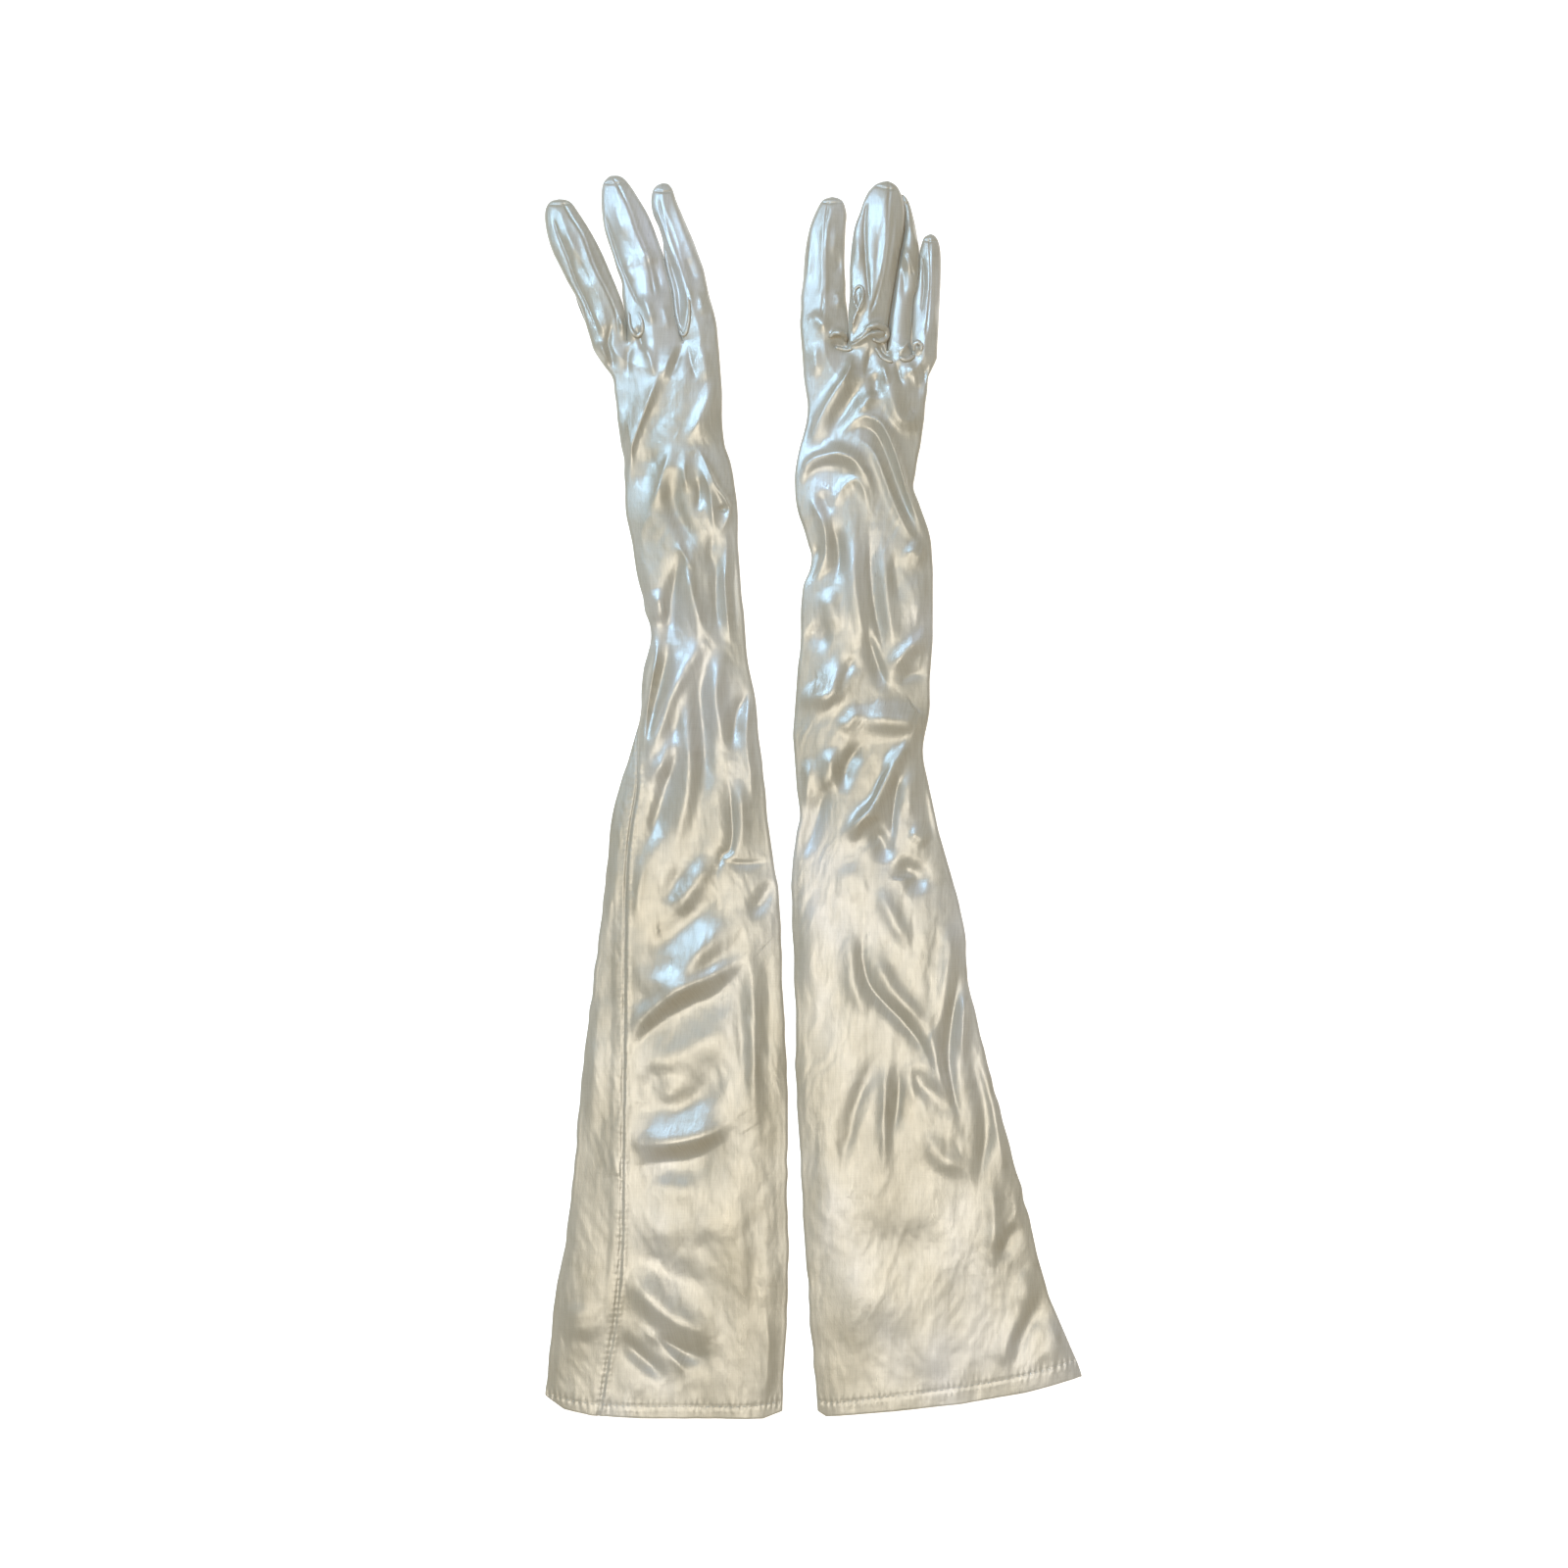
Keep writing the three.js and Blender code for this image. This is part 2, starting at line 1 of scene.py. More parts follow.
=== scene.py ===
import json
import math
import bpy
import numpy as np
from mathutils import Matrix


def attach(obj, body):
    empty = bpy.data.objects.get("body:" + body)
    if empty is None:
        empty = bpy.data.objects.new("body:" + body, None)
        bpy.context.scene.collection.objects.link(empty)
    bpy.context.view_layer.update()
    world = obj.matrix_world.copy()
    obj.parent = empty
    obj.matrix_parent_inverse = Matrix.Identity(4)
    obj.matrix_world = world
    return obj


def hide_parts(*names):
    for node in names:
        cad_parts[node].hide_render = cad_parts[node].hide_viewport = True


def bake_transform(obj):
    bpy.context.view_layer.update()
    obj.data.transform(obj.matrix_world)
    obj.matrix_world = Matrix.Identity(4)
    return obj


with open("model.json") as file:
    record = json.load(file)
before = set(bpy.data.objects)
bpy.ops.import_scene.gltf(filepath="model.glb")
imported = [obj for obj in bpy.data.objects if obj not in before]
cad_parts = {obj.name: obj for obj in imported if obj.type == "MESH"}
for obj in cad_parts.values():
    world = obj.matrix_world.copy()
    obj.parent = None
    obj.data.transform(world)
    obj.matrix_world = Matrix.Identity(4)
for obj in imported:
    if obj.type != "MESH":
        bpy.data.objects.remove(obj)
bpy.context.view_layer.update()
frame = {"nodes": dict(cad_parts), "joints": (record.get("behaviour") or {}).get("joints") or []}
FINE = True

# All drawing tables are in millimetres in the row frame: +Y to the fingertips, z = 0 the surface.
DATA = {
    'left': {
        'edge_l': [(-113.75, 232.1), (-112.25, 227.25), (-107.75, 220.25), (-102.75, 213.25), (-101.75, 206.25), (-100.75, 199.25), (-100.25, 192.25), (-99.25, 185.25), (-98.25, 178.25), (-96.75, 171.25), (-96.75, 164.25), (-96.25, 157.25), (-96.25, 150.25), (-95.75, 143.25), (-94.25, 136.25), (-92.75, 129.25), (-91.75, 122.25), (-90.75, 115.25), (-89.25, 108.25), (-87.25, 101.25), (-86.25, 94.25), (-83.75, 87.25), (-83.25, 80.25), (-84.75, 73.25), (-86.75, 66.25), (-87.75, 59.25), (-88.25, 52.25), (-88.25, 45.25), (-89.25, 38.25), (-91.25, 31.25), (-93.25, 24.25), (-95.25, 17.25), (-97.75, 10.25), (-99.75, 3.25), (-101.75, -3.75), (-103.25, -10.75), (-104.25, -17.75), (-104.75, -24.75), (-105.25, -31.75), (-106.25, -38.75), (-106.75, -45.75), (-107.75, -52.75), (-108.25, -59.75), (-109.25, -66.75), (-110.25, -73.75), (-110.75, -80.75), (-112.25, -87.75), (-112.75, -94.75), (-113.25, -101.75), (-114.75, -108.75), (-115.25, -115.75), (-116.25, -122.75), (-117.25, -129.75), (-117.75, -136.75), (-118.75, -143.75), (-119.25, -150.75), (-119.75, -157.75), (-120.75, -164.75), (-121.25, -171.75), (-121.25, -178.75), (-122.25, -185.75), (-122.75, -192.75), (-123.75, -199.75), (-124.25, -206.75), (-125.25, -213.75), (-126.25, -220.75), (-126.75, -227.75), (-128.25, -234.75), (-129.75, -241.75), (-131.25, -248.75), (-132.25, -255.75), (-133.25, -262.75), (-133.75, -269.75), (-134.25, -276.75), (-135.25, -283.75), (-135.75, -290.75), (-136.25, -297.75), (-137.25, -304.75), (-137.25, -318.75)],
        'edge_r': [(-48.75, 232.1), (-48.25, 227.25), (-47.75, 220.25), (-47.25, 213.25), (-46.75, 206.25), (-46.75, 199.25), (-46.75, 192.25), (-46.25, 185.25), (-45.25, 178.25), (-42.75, 171.25), (-41.25, 164.25), (-40.25, 157.25), (-39.25, 150.25), (-38.75, 143.25), (-38.75, 136.25), (-38.75, 129.25), (-38.25, 122.25), (-37.75, 115.25), (-37.25, 108.25), (-36.75, 101.25), (-35.75, 94.25), (-35.25, 87.25), (-34.75, 80.25), (-34.25, 73.25), (-33.25, 66.25), (-31.75, 59.25), (-30.25, 52.25), (-29.25, 45.25), (-28.75, 38.25), (-28.25, 31.25), (-27.25, 24.25), (-26.25, 17.25), (-25.75, 10.25), (-24.75, 3.25), (-24.25, -3.75), (-23.75, -10.75), (-22.75, -17.75), (-21.75, -24.75), (-20.75, -31.75), (-19.75, -38.75), (-18.25, -45.75), (-17.75, -52.75), (-17.25, -59.75), (-16.75, -66.75), (-16.75, -73.75), (-16.25, -80.75), (-16.25, -87.75), (-16.25, -94.75), (-15.75, -101.75), (-15.25, -108.75), (-14.75, -115.75), (-14.75, -122.75), (-14.25, -129.75), (-13.75, -136.75), (-13.75, -143.75), (-13.25, -150.75), (-13.25, -157.75), (-13.25, -164.75), (-13.25, -171.75), (-13.25, -178.75), (-13.75, -185.75), (-13.25, -192.75), (-13.75, -199.75), (-13.75, -206.75), (-13.25, -213.75), (-13.25, -220.75), (-12.75, -227.75), (-12.75, -234.75), (-13.25, -241.75), (-13.25, -248.75), (-13.25, -255.75), (-13.75, -262.75), (-13.75, -269.75), (-14.25, -276.75), (-14.75, -283.75), (-15.25, -290.75), (-15.75, -297.75), (-15.75, -304.75), (-16.25, -318.75)],
        'hem': [(0, -305.75), (0.08, -312.25), (0.2, -315.25), (0.4, -316.75), (0.75, -317.0), (0.92, -317.25), (1, -313.75)],
        'root': [(-113.75, 232.1), (-48.75, 232.1)],
        'fingers': {
            'left_ring': {
                'L': [(-113.75, 232.1), (-116.25, 240.25), (-118.5, 248.25), (-121.75, 255.25), (-125.75, 262.25), (-129.25, 269.25), (-132.75, 276.25), (-135.25, 283.25), (-136.75, 290.25), (-137.25, 296.25), (-136.25, 300.75), (-133.75, 303.5), (-129.75, 304.5)],
                'R': [(-95.25, 232.1), (-95.5, 241.25), (-97.25, 250.25), (-100.75, 259.75), (-104.75, 269.25), (-107.75, 276.25), (-111.25, 283.25), (-115.25, 290.25), (-119.75, 297.25), (-123.25, 302.25), (-126.25, 304.0), (-129.75, 304.5)],
            },
            'left_middle': {
                'L': [(-95.25, 232.1), (-95.55, 241.25), (-97.05, 250.25), (-97.95, 256.25), (-98.25, 262.25), (-100.75, 269.25), (-102.75, 276.25), (-105.25, 283.25), (-107.25, 290.25), (-108.25, 297.25), (-108.75, 304.25), (-108.25, 311.25), (-106.75, 314.75), (-104.25, 316.9), (-101.75, 317.25)],
                'R': [(-67.0, 232.1), (-69.25, 239.25), (-71.0, 246.25), (-72.25, 257.75), (-74.75, 267.25), (-76.75, 276.25), (-79.25, 283.25), (-81.75, 290.25), (-84.75, 297.25), (-88.75, 304.25), (-93.25, 311.25), (-96.75, 315.5), (-99.25, 317.0), (-101.75, 317.25)],
            },
            'left_index': {
                'L': [(-67.0, 232.1), (-69.25, 239.25), (-71.0, 246.25), (-72.25, 257.75), (-74.75, 267.25), (-76.6, 276.25), (-77.25, 283.25), (-79.25, 290.25), (-82.25, 297.25), (-83.25, 304.25), (-82.25, 309.75), (-79.75, 312.5), (-76.75, 313.5)],
                'R': [(-48.75, 232.1), (-49.5, 240.25), (-51.25, 248.25), (-53.25, 255.25), (-54.75, 262.25), (-56.25, 269.25), (-58.75, 276.25), (-61.25, 283.25), (-64.25, 290.25), (-67.25, 297.25), (-70.25, 304.25), (-72.25, 310.25), (-74.25, 312.75), (-76.75, 313.5)],
            },
            'left_little': {
                'L': [(-108.75, 225.75), (-113.75, 235.25), (-120.25, 250.25), (-123.75, 262.25), (-126.25, 270.25), (-125.75, 275.25), (-123.75, 278.25), (-121.25, 279.5)],
                'R': [(-94.75, 224.25), (-99.25, 237.75), (-103.25, 253.25), (-107.75, 264.75), (-111.75, 272.75), (-115.25, 277.25), (-118.25, 279.25), (-121.25, 279.5)],
            },
        },
        'lower': ['left_little'],
        'strokes': [
            ([(-76.75, 220.25), (-79.75, 211.25), (-83.25, 202.25), (-87.25, 192.25), (-90.75, 183.25), (-93.25, 174.75), (-94.25, 165.25), (-94.25, 154.25)], 2.2, 6.6, 2.39, 0.38),
            ([(-79.75, 212.25), (-83.25, 203.25), (-86.75, 194.25)], 4.4, 1.65, 0.73, 0.38),
            ([(-72.25, 219.25), (-75.75, 205.25), (-79.75, 191.25), (-82.75, 180.25)], 6.6, 12.1, -0.73, 0.38),
            ([(-82.25, 178.25), (-84.75, 166.25), (-87.25, 154.25)], 4.95, 5.5, -1.14, 0.38),
            ([(-71.25, 180.25), (-73.75, 173.25), (-76.25, 165.25), (-79.25, 155.25), (-84.25, 144.25)], 6.6, 2.48, 1.87, 0.38),
            ([(-49.25, 214.25), (-53.75, 201.25), (-58.75, 189.25), (-64.75, 178.25)], 6.6, 3.85, 1.77, 0.38),
            ([(-62.75, 175.25), (-58.75, 175.75), (-54.25, 167.25), (-50.25, 158.25), (-45.25, 151.25), (-42.75, 145.25), (-44.75, 139.25), (-48.75, 132.75)], 1.93, 2.2, 2.18, 0.38),
            ([(-59.75, 171.25), (-55.75, 162.75), (-52.75, 154.75), (-51.75, 146.25), (-50.75, 138.75), (-48.75, 132.25)], 3.3, 2.2, 2.08, 0.38),
            ([(-46.25, 148.25), (-45.75, 144.25)], 1.93, 1.93, -1.87, 0.38),
            ([(-65.25, 174.25), (-65.75, 163.75), (-63.75, 152.75)], 2.75, 2.75, 1.35, 0.38),
            ([(-73.25, 169.25), (-72.75, 156.25), (-70.25, 145.25), (-64.25, 133.75), (-57.75, 123.25)], 4.4, 4.95, -2.08, 0.38),
            ([(-58.75, 162.75), (-58.25, 153.75), (-59.25, 144.25)], 2.2, 2.2, -1.35, 0.38),
            ([(-70.25, 130.25), (-65.25, 121.25), (-60.25, 113.25)], 2.2, 2.2, 1.04, 0.38),
            ([(-51.25, 136.25), (-52.25, 123.75), (-50.25, 111.25)], 3.3, 3.3, -1.25, 0.38),
            ([(-67.75, 126.25), (-70.25, 111.25), (-73.25, 96.25), (-74.75, 75.25)], 4.4, 3.3, -2.91, 0.38),
            ([(-66.75, 123.75), (-63.75, 111.25), (-60.75, 98.75), (-57.25, 86.25), (-54.25, 78.75)], 3.3, 4.95, 2.7, 0.38),
            ([(-44.25, 130.75), (-44.75, 118.75), (-45.25, 109.25), (-44.25, 93.75), (-42.25, 75.25)], 2.2, 2.2, 1.66, 0.38),
            ([(-48.75, 126.25), (-49.75, 111.25), (-49.75, 96.25), (-47.75, 78.75)], 2.75, 2.75, -1.46, 0.38),
            ([(-39.75, 126.25), (-40.25, 106.25), (-39.25, 81.25)], 2.2, 2.2, -0.83, 0.38),
            ([(-81.25, 106.25), (-77.75, 93.75), (-76.25, 86.25)], 4.4, 4.4, 1.66, 0.38),
            ([(-83.75, 86.25), (-80.75, 78.75), (-80.25, 70.25), (-82.75, 56.25), (-85.25, 43.25), (-86.75, 28.75), (-87.75, 17.25)], 2.75, 4.4, 3.12, 0.38),
            ([(-73.25, 78.75), (-76.25, 66.25), (-79.75, 52.75), (-83.25, 38.75), (-85.25, 25.25)], 3.85, 3.3, -2.7, 0.38),
            ([(-54.25, 82.25), (-60.25, 73.75), (-66.75, 63.75), (-73.25, 50.25), (-79.25, 33.75), (-84.75, 17.25), (-87.75, 6.25)], 4.4, 4.95, 2.91, 0.38),
            ([(-66.75, 45.25), (-70.25, 33.75), (-73.25, 23.75), (-76.25, 13.75)], 3.85, 3.3, -1.25, 0.38),
            ([(-69.25, 35.25), (-73.25, 25.25), (-79.25, 13.75), (-85.25, 6.25)], 4.4, 3.85, 2.08, 0.38),
            ([(-66.75, 26.25), (-72.25, 13.75), (-77.25, -1.25), (-81.75, -16.25), (-87.75, -29.75)], 4.4, 3.85, -2.5, 0.38),
            ([(-53.25, 78.75), (-55.75, 63.75), (-57.75, 50.25), (-56.75, 31.25), (-56.25, 11.25), (-56.75, -10.25)], 4.4, 4.4, -2.7, 0.38),
            ([(-47.75, 76.25), (-49.25, 61.25), (-49.75, 48.75), (-47.25, 33.75), (-46.25, 21.25)], 3.85, 4.4, 2.29, 0.38),
            ([(-31.75, 56.25), (-36.25, 48.75), (-39.75, 41.25), (-41.25, 31.25), (-42.25, 22.25)], 3.3, 2.75, -2.08, 0.38),
            ([(-34.25, 61.25), (-33.25, 46.25), (-34.25, 28.75), (-32.25, 11.25), (-31.25, -8.75)], 2.75, 3.3, 1.46, 0.38),
            ([(-64.25, 56.25), (-65.25, 43.75), (-63.75, 28.75), (-63.25, 13.75), (-65.25, -1.25), (-68.75, -18.75), (-73.75, -33.75)], 4.95, 4.95, 2.29, 0.38),
            ([(-45.25, 13.75), (-42.75, 3.75), (-41.75, -7.75), (-41.25, -18.75), (-42.75, -27.75), (-46.25, -30.25), (-49.25, -37.75), (-50.25, -46.25)], 1.65, 3.3, -1.66, 0.38),
            ([(-39.25, 11.25), (-36.75, -3.75), (-36.75, -18.75), (-39.25, -29.75)], 3.3, 3.3, 1.25, 0.38),
            ([(-47.25, -33.25), (-35.25, -34.25), (-22.25, -33.25)], 1.65, 2.75, -0.94, 0.38),
            ([(-52.75, -28.75), (-57.25, -38.75), (-65.25, -51.25), (-71.25, -63.75)], 4.95, 5.5, 1.66, 0.38),
            ([(-65.25, -33.75), (-70.25, -43.75), (-77.75, -56.25)], 4.4, 4.4, -1.25, 0.38),
            ([(-20.25, -41.75), (-25.25, -51.25), (-33.75, -62.75)], 4.4, 4.4, -1.87, 0.38),
            ([(-85.25, -23.75), (-87.75, -38.75), (-90.25, -53.75), (-92.25, -68.75)], 3.85, 3.85, 1.04, 0.38),
            ([(-91.25, -86.25), (-83.25, -93.75), (-75.25, -95.75), (-66.75, -91.75), (-59.25, -81.25), (-49.25, -71.25), (-39.25, -63.75)], 7.15, 6.6, 3.33, 0.38),
            ([(-90.25, -68.75), (-79.25, -74.75), (-70.25, -68.75), (-59.25, -58.75), (-47.75, -48.75)], 7.7, 6.6, -1.66, 0.38),
            ([(-94.75, -127.75), (-87.75, -113.75), (-77.75, -104.75), (-65.25, -97.75), (-49.25, -89.75), (-32.25, -81.25)], 4.4, 4.4, 2.91, 0.38),
            ([(-92.75, -134.75), (-84.25, -121.75), (-72.75, -112.75), (-61.25, -106.75), (-48.25, -100.75), (-31.25, -82.75)], 4.4, 12.1, -2.08, 0.38),
            ([(-78.25, -134.75), (-82.25, -145.75), (-87.25, -156.75)], 6.05, 6.05, -0.94, 0.38),
            ([(-42.25, -132.75), (-54.25, -144.75), (-67.25, -155.75)], 7.15, 7.15, -1.04, 0.38),
            ([(-90.25, -143.75), (-81.25, -136.25), (-70.25, -132.75), (-57.75, -126.75), (-41.25, -116.25)], 6.6, 6.6, 0.83, 0.38),
            ([(-68.25, -141.75), (-72.25, -151.75), (-76.25, -158.75)], 6.05, 6.05, 0.52, 0.38),
            ([(-94.75, -172.75), (-84.25, -176.75), (-68.75, -175.75), (-54.25, -171.75), (-40.25, -163.75)], 7.7, 4.4, 3.33, 0.38),
            ([(-94.75, -154.75), (-84.25, -158.75), (-70.25, -157.75), (-55.25, -152.75), (-42.25, -145.75)], 6.6, 6.6, -1.46, 0.38),
            ([(-93.75, -190.75), (-78.25, -187.25), (-59.25, -184.75), (-40.25, -173.75)], 4.4, 14.3, -2.29, 0.38),
            ([(-85.25, -196.75), (-70.25, -199.75), (-55.25, -197.75)], 6.6, 7.7, 1.04, 0.38),
            ([(-35.25, -68.75), (-32.25, -86.25), (-30.75, -103.75), (-30.25, -123.75), (-30.25, -143.75), (-28.75, -163.75), (-27.75, -181.25)], 3.3, 4.4, 1.56, 0.38),
            ([(-26.25, -73.75), (-23.25, -98.75), (-23.25, -123.75), (-22.25, -153.75)], 3.85, 3.85, -0.62, 0.38),
            ([(-39.25, -93.75), (-37.25, -118.75), (-36.75, -143.75)], 3.85, 3.3, -0.94, 0.38),
            ([(-95.25, -238.75), (-87.75, -251.75), (-75.25, -263.75), (-61.25, -271.25), (-46.25, -275.75)], 7.7, 6.05, 2.7, 0.38),
            ([(-93.25, -224.75), (-82.75, -236.25), (-65.25, -246.25), (-45.25, -253.75)], 7.7, 7.7, -1.25, 0.38),
            ([(-99.25, -273.75), (-91.25, -282.75), (-81.25, -291.75), (-75.25, -298.75)], 3.3, 4.4, -2.5, 0.38),
            ([(-84.25, -272.75), (-71.25, -280.75), (-59.25, -285.75), (-51.25, -285.75)], 3.3, 4.95, -2.5, 0.38),
            ([(-90.25, -268.75), (-79.25, -277.75), (-68.25, -289.75), (-64.25, -297.75)], 3.3, 3.3, 1.46, 0.38),
            ([(-95.25, -213.75), (-80.25, -219.75), (-55.25, -218.75), (-30.25, -213.75)], 7.7, 7.7, 0.83, 0.38),
            ([(-24.25, -258.75), (-23.25, -278.75), (-24.25, -298.75), (-25.25, -313.75)], 3.85, 3.3, 1.25, 0.38),
            ([(-35.25, -193.75), (-31.25, -218.75), (-30.25, -248.75), (-32.25, -273.75)], 4.95, 4.95, -0.94, 0.38),
            ([(-118.25, -256.25), (-119.25, -268.75), (-120.25, -278.75)], 7.7, 7.7, 1.25, 0.38),
            ([(-109.25, -93.75), (-111.25, -123.75), (-113.25, -153.75), (-115.25, -193.75)], 4.4, 4.4, 0.73, 0.38),
            ([(-102.75, -18.75), (-104.25, -43.75), (-106.25, -73.75)], 3.3, 3.3, 0.73, 0.38),
        ],
        'fine': [
            ([(-128.25, 303.25), (-124.25, 295.75), (-117.75, 285.25), (-113.75, 274.25), (-110.25, 265.75), (-105.25, 256.25), (-100.75, 245.25), (-99.25, 233.75)], 1.65, 2.75, 1.04, 0.38),
            ([(-132.75, 294.25), (-129.75, 285.25), (-125.25, 274.25), (-120.75, 261.75), (-115.75, 251.25), (-109.75, 236.25)], 2.2, 1.65, -0.73, 0.38),
            ([(-127.75, 290.25), (-123.25, 280.25), (-120.25, 272.25)], 2.75, 2.75, 0.73, 0.38),
            ([(-120.75, 275.25), (-115.25, 264.25), (-112.25, 258.25)], 2.2, 2.2, -0.73, 0.38),
            ([(-112.25, 247.25), (-109.25, 241.25), (-106.25, 233.75)], 2.2, 2.2, 0.94, 0.38),
            ([(-102.75, 316.25), (-98.75, 309.25), (-93.75, 298.25), (-90.25, 287.75), (-86.25, 278.25), (-83.25, 266.25), (-81.25, 253.75)], 1.65, 3.3, 1.25, 0.38),
            ([(-106.75, 296.25), (-102.75, 285.25), (-98.75, 272.75), (-93.25, 259.25), (-88.75, 249.25)], 2.2, 1.65, -0.83, 0.38),
            ([(-102.75, 304.25), (-99.25, 293.75), (-95.25, 282.25)], 2.75, 2.75, 0.83, 0.38),
            ([(-92.25, 275.25), (-95.25, 268.75), (-90.25, 261.25)], 3.3, 3.3, 0.94, 0.38),
            ([(-83.25, 275.25), (-79.25, 263.75), (-77.25, 253.75)], 2.2, 2.2, -0.94, 0.38),
            ([(-87.75, 256.25), (-84.25, 247.25), (-81.25, 238.75)], 2.75, 2.75, 1.25, 0.38),
            ([(-77.25, 251.25), (-75.25, 243.75), (-73.25, 236.25)], 2.2, 2.2, 0.83, 0.38),
            ([(-87.75, 278.75), (-84.25, 275.25), (-81.25, 270.25)], 2.75, 2.75, 1.04, 0.38),
            ([(-79.75, 306.25), (-77.25, 295.25), (-73.75, 283.25), (-70.25, 273.25), (-66.25, 261.25), (-63.75, 253.25), (-63.75, 243.75), (-65.25, 235.25)], 1.65, 2.2, 2.08, 0.38),
            ([(-76.25, 280.25), (-72.25, 269.25), (-69.25, 258.25), (-68.25, 247.25), (-67.75, 238.25)], 2.2, 1.65, -2.7, 0.38),
            ([(-73.25, 308.25), (-68.25, 292.25), (-62.25, 276.25), (-57.25, 260.25)], 2.75, 2.75, 0.83, 0.38),
            ([(-59.25, 258.25), (-57.25, 251.25), (-56.25, 243.25)], 2.75, 2.75, 1.14, 0.38),
            ([(-65.25, 275.25), (-62.25, 267.25), (-60.75, 261.25)], 2.2, 2.2, -0.73, 0.38),
            ([(-99.75, 245.25), (-96.75, 239.25), (-93.25, 235.25), (-89.75, 231.75)], 1.65, 2.2, 2.25, 0.38),
            ([(-90.75, 239.25), (-88.75, 233.75), (-86.25, 225.25)], 1.65, 1.65, -1.83, 0.38),
            ([(-92.25, 231.25), (-94.75, 223.25), (-94.25, 212.25)], 2.2, 2.2, -1.4, 0.38),
            ([(-87.75, 231.25), (-83.25, 222.25), (-81.25, 212.25)], 2.2, 2.2, 1.4, 0.38),
            ([(-66.75, 231.25), (-69.25, 222.25), (-73.25, 211.25)], 2.2, 2.2, -1.4, 0.38),
            ([(-64.25, 231.25), (-62.75, 221.25), (-59.25, 210.25)], 2.2, 2.2, -1.26, 0.38),
            ([(-70.25, 230.25), (-74.25, 220.25), (-77.25, 210.25)], 2.2, 2.75, 1.4, 0.38),
            ([(-102.75, 241.25), (-104.75, 231.25), (-103.25, 224.75), (-101.75, 216.25)], 1.65, 1.65, -2.25, 0.38),
            ([(-109.25, 232.25), (-106.75, 225.25), (-103.25, 219.25)], 2.75, 2.75, 1.97, 0.38),
            ([(-57.25, 230.25), (-55.25, 220.25), (-54.25, 208.75)], 3.3, 3.3, 1.12, 0.38),
            ([(-128.25, 303.25), (-124.25, 295.75), (-117.75, 285.25), (-113.75, 274.25), (-110.25, 265.75), (-105.25, 256.25), (-100.75, 245.25), (-99.25, 233.75)], 0.55, 0.55, -0.75, 0.08),
            ([(-132.75, 294.25), (-129.75, 285.25), (-125.25, 274.25), (-120.75, 261.75), (-115.75, 251.25), (-109.75, 236.25)], 0.55, 0.55, -0.75, 0.08),
            ([(-135.63, 301.44), (-129.41, 301.0), (-123.19, 302.16)], 0.45, 0.45, -0.6000000000000001, 0.05),
            ([(-102.75, 316.25), (-98.75, 309.25), (-93.75, 298.25), (-90.25, 287.75), (-86.25, 278.25), (-83.25, 266.25), (-81.25, 253.75)], 0.55, 0.55, -0.75, 0.08),
            ([(-106.75, 296.25), (-102.75, 285.25), (-98.75, 272.75), (-93.25, 259.25), (-88.75, 249.25)], 0.55, 0.55, -0.75, 0.08),
            ([(-107.49, 313.03), (-101.27, 312.44), (-95.06, 313.45)], 0.45, 0.45, -0.6000000000000001, 0.05),
            ([(-79.75, 306.25), (-77.25, 295.25), (-73.75, 283.25), (-70.25, 273.25), (-66.25, 261.25), (-63.75, 253.25), (-63.75, 243.75), (-65.25, 235.25)], 0.55, 0.55, -0.75, 0.08),
            ([(-76.25, 280.25), (-72.25, 269.25), (-69.25, 258.25), (-68.25, 247.25), (-67.75, 238.25)], 0.55, 0.55, -0.75, 0.08),
            ([(-82.34, 309.26), (-77.03, 308.17), (-71.73, 308.68)], 0.45, 0.45, -0.6000000000000001, 0.05),
        ],
        'lower_strokes': [],
        'seam': [(-87.75, 86.25), (-89.25, 56.25), (-90.25, 26.25), (-90.25, 4.75), (-93.25, -14.25), (-95.25, -33.25), (-96.25, -62.75), (-96.75, -120.75), (-97.25, -158.75), (-97.75, -203.75), (-98.25, -230.75), (-100.75, -263.25), (-104.75, -286.25), (-109.75, -316.25)],
        'hem_stitch': [(-132.25, -305.75), (-120.25, -308.75), (-95.25, -310.75), (-65.25, -311.0), (-35.25, -311.25), (-16.75, -309.25)],
        'curls': {
            'left_middle': [[(-94.25, 246.25, 0.5), (-93.85, 240.75, 0.75), (-92.5, 236.25, 0.95), (-90.25, 234.25, 1.1), (-87.75, 236.0, 1.0), (-87.35, 240.75, 0.75), (-89.5, 246.25, 0.5)]],
            'left_index': [[(-68.25, 237.75, 0.6), (-66.85, 234.75, 0.85), (-65.25, 235.75, 0.9), (-64.0, 239.75, 0.8), (-63.45, 246.25, 0.65), (-63.75, 253.25, 0.45)]],
        },
        'thumb': {
            'root': (-52.25, 145.25),
            'tip': (-81.25, 202.25),
        },
    },
    'right': {
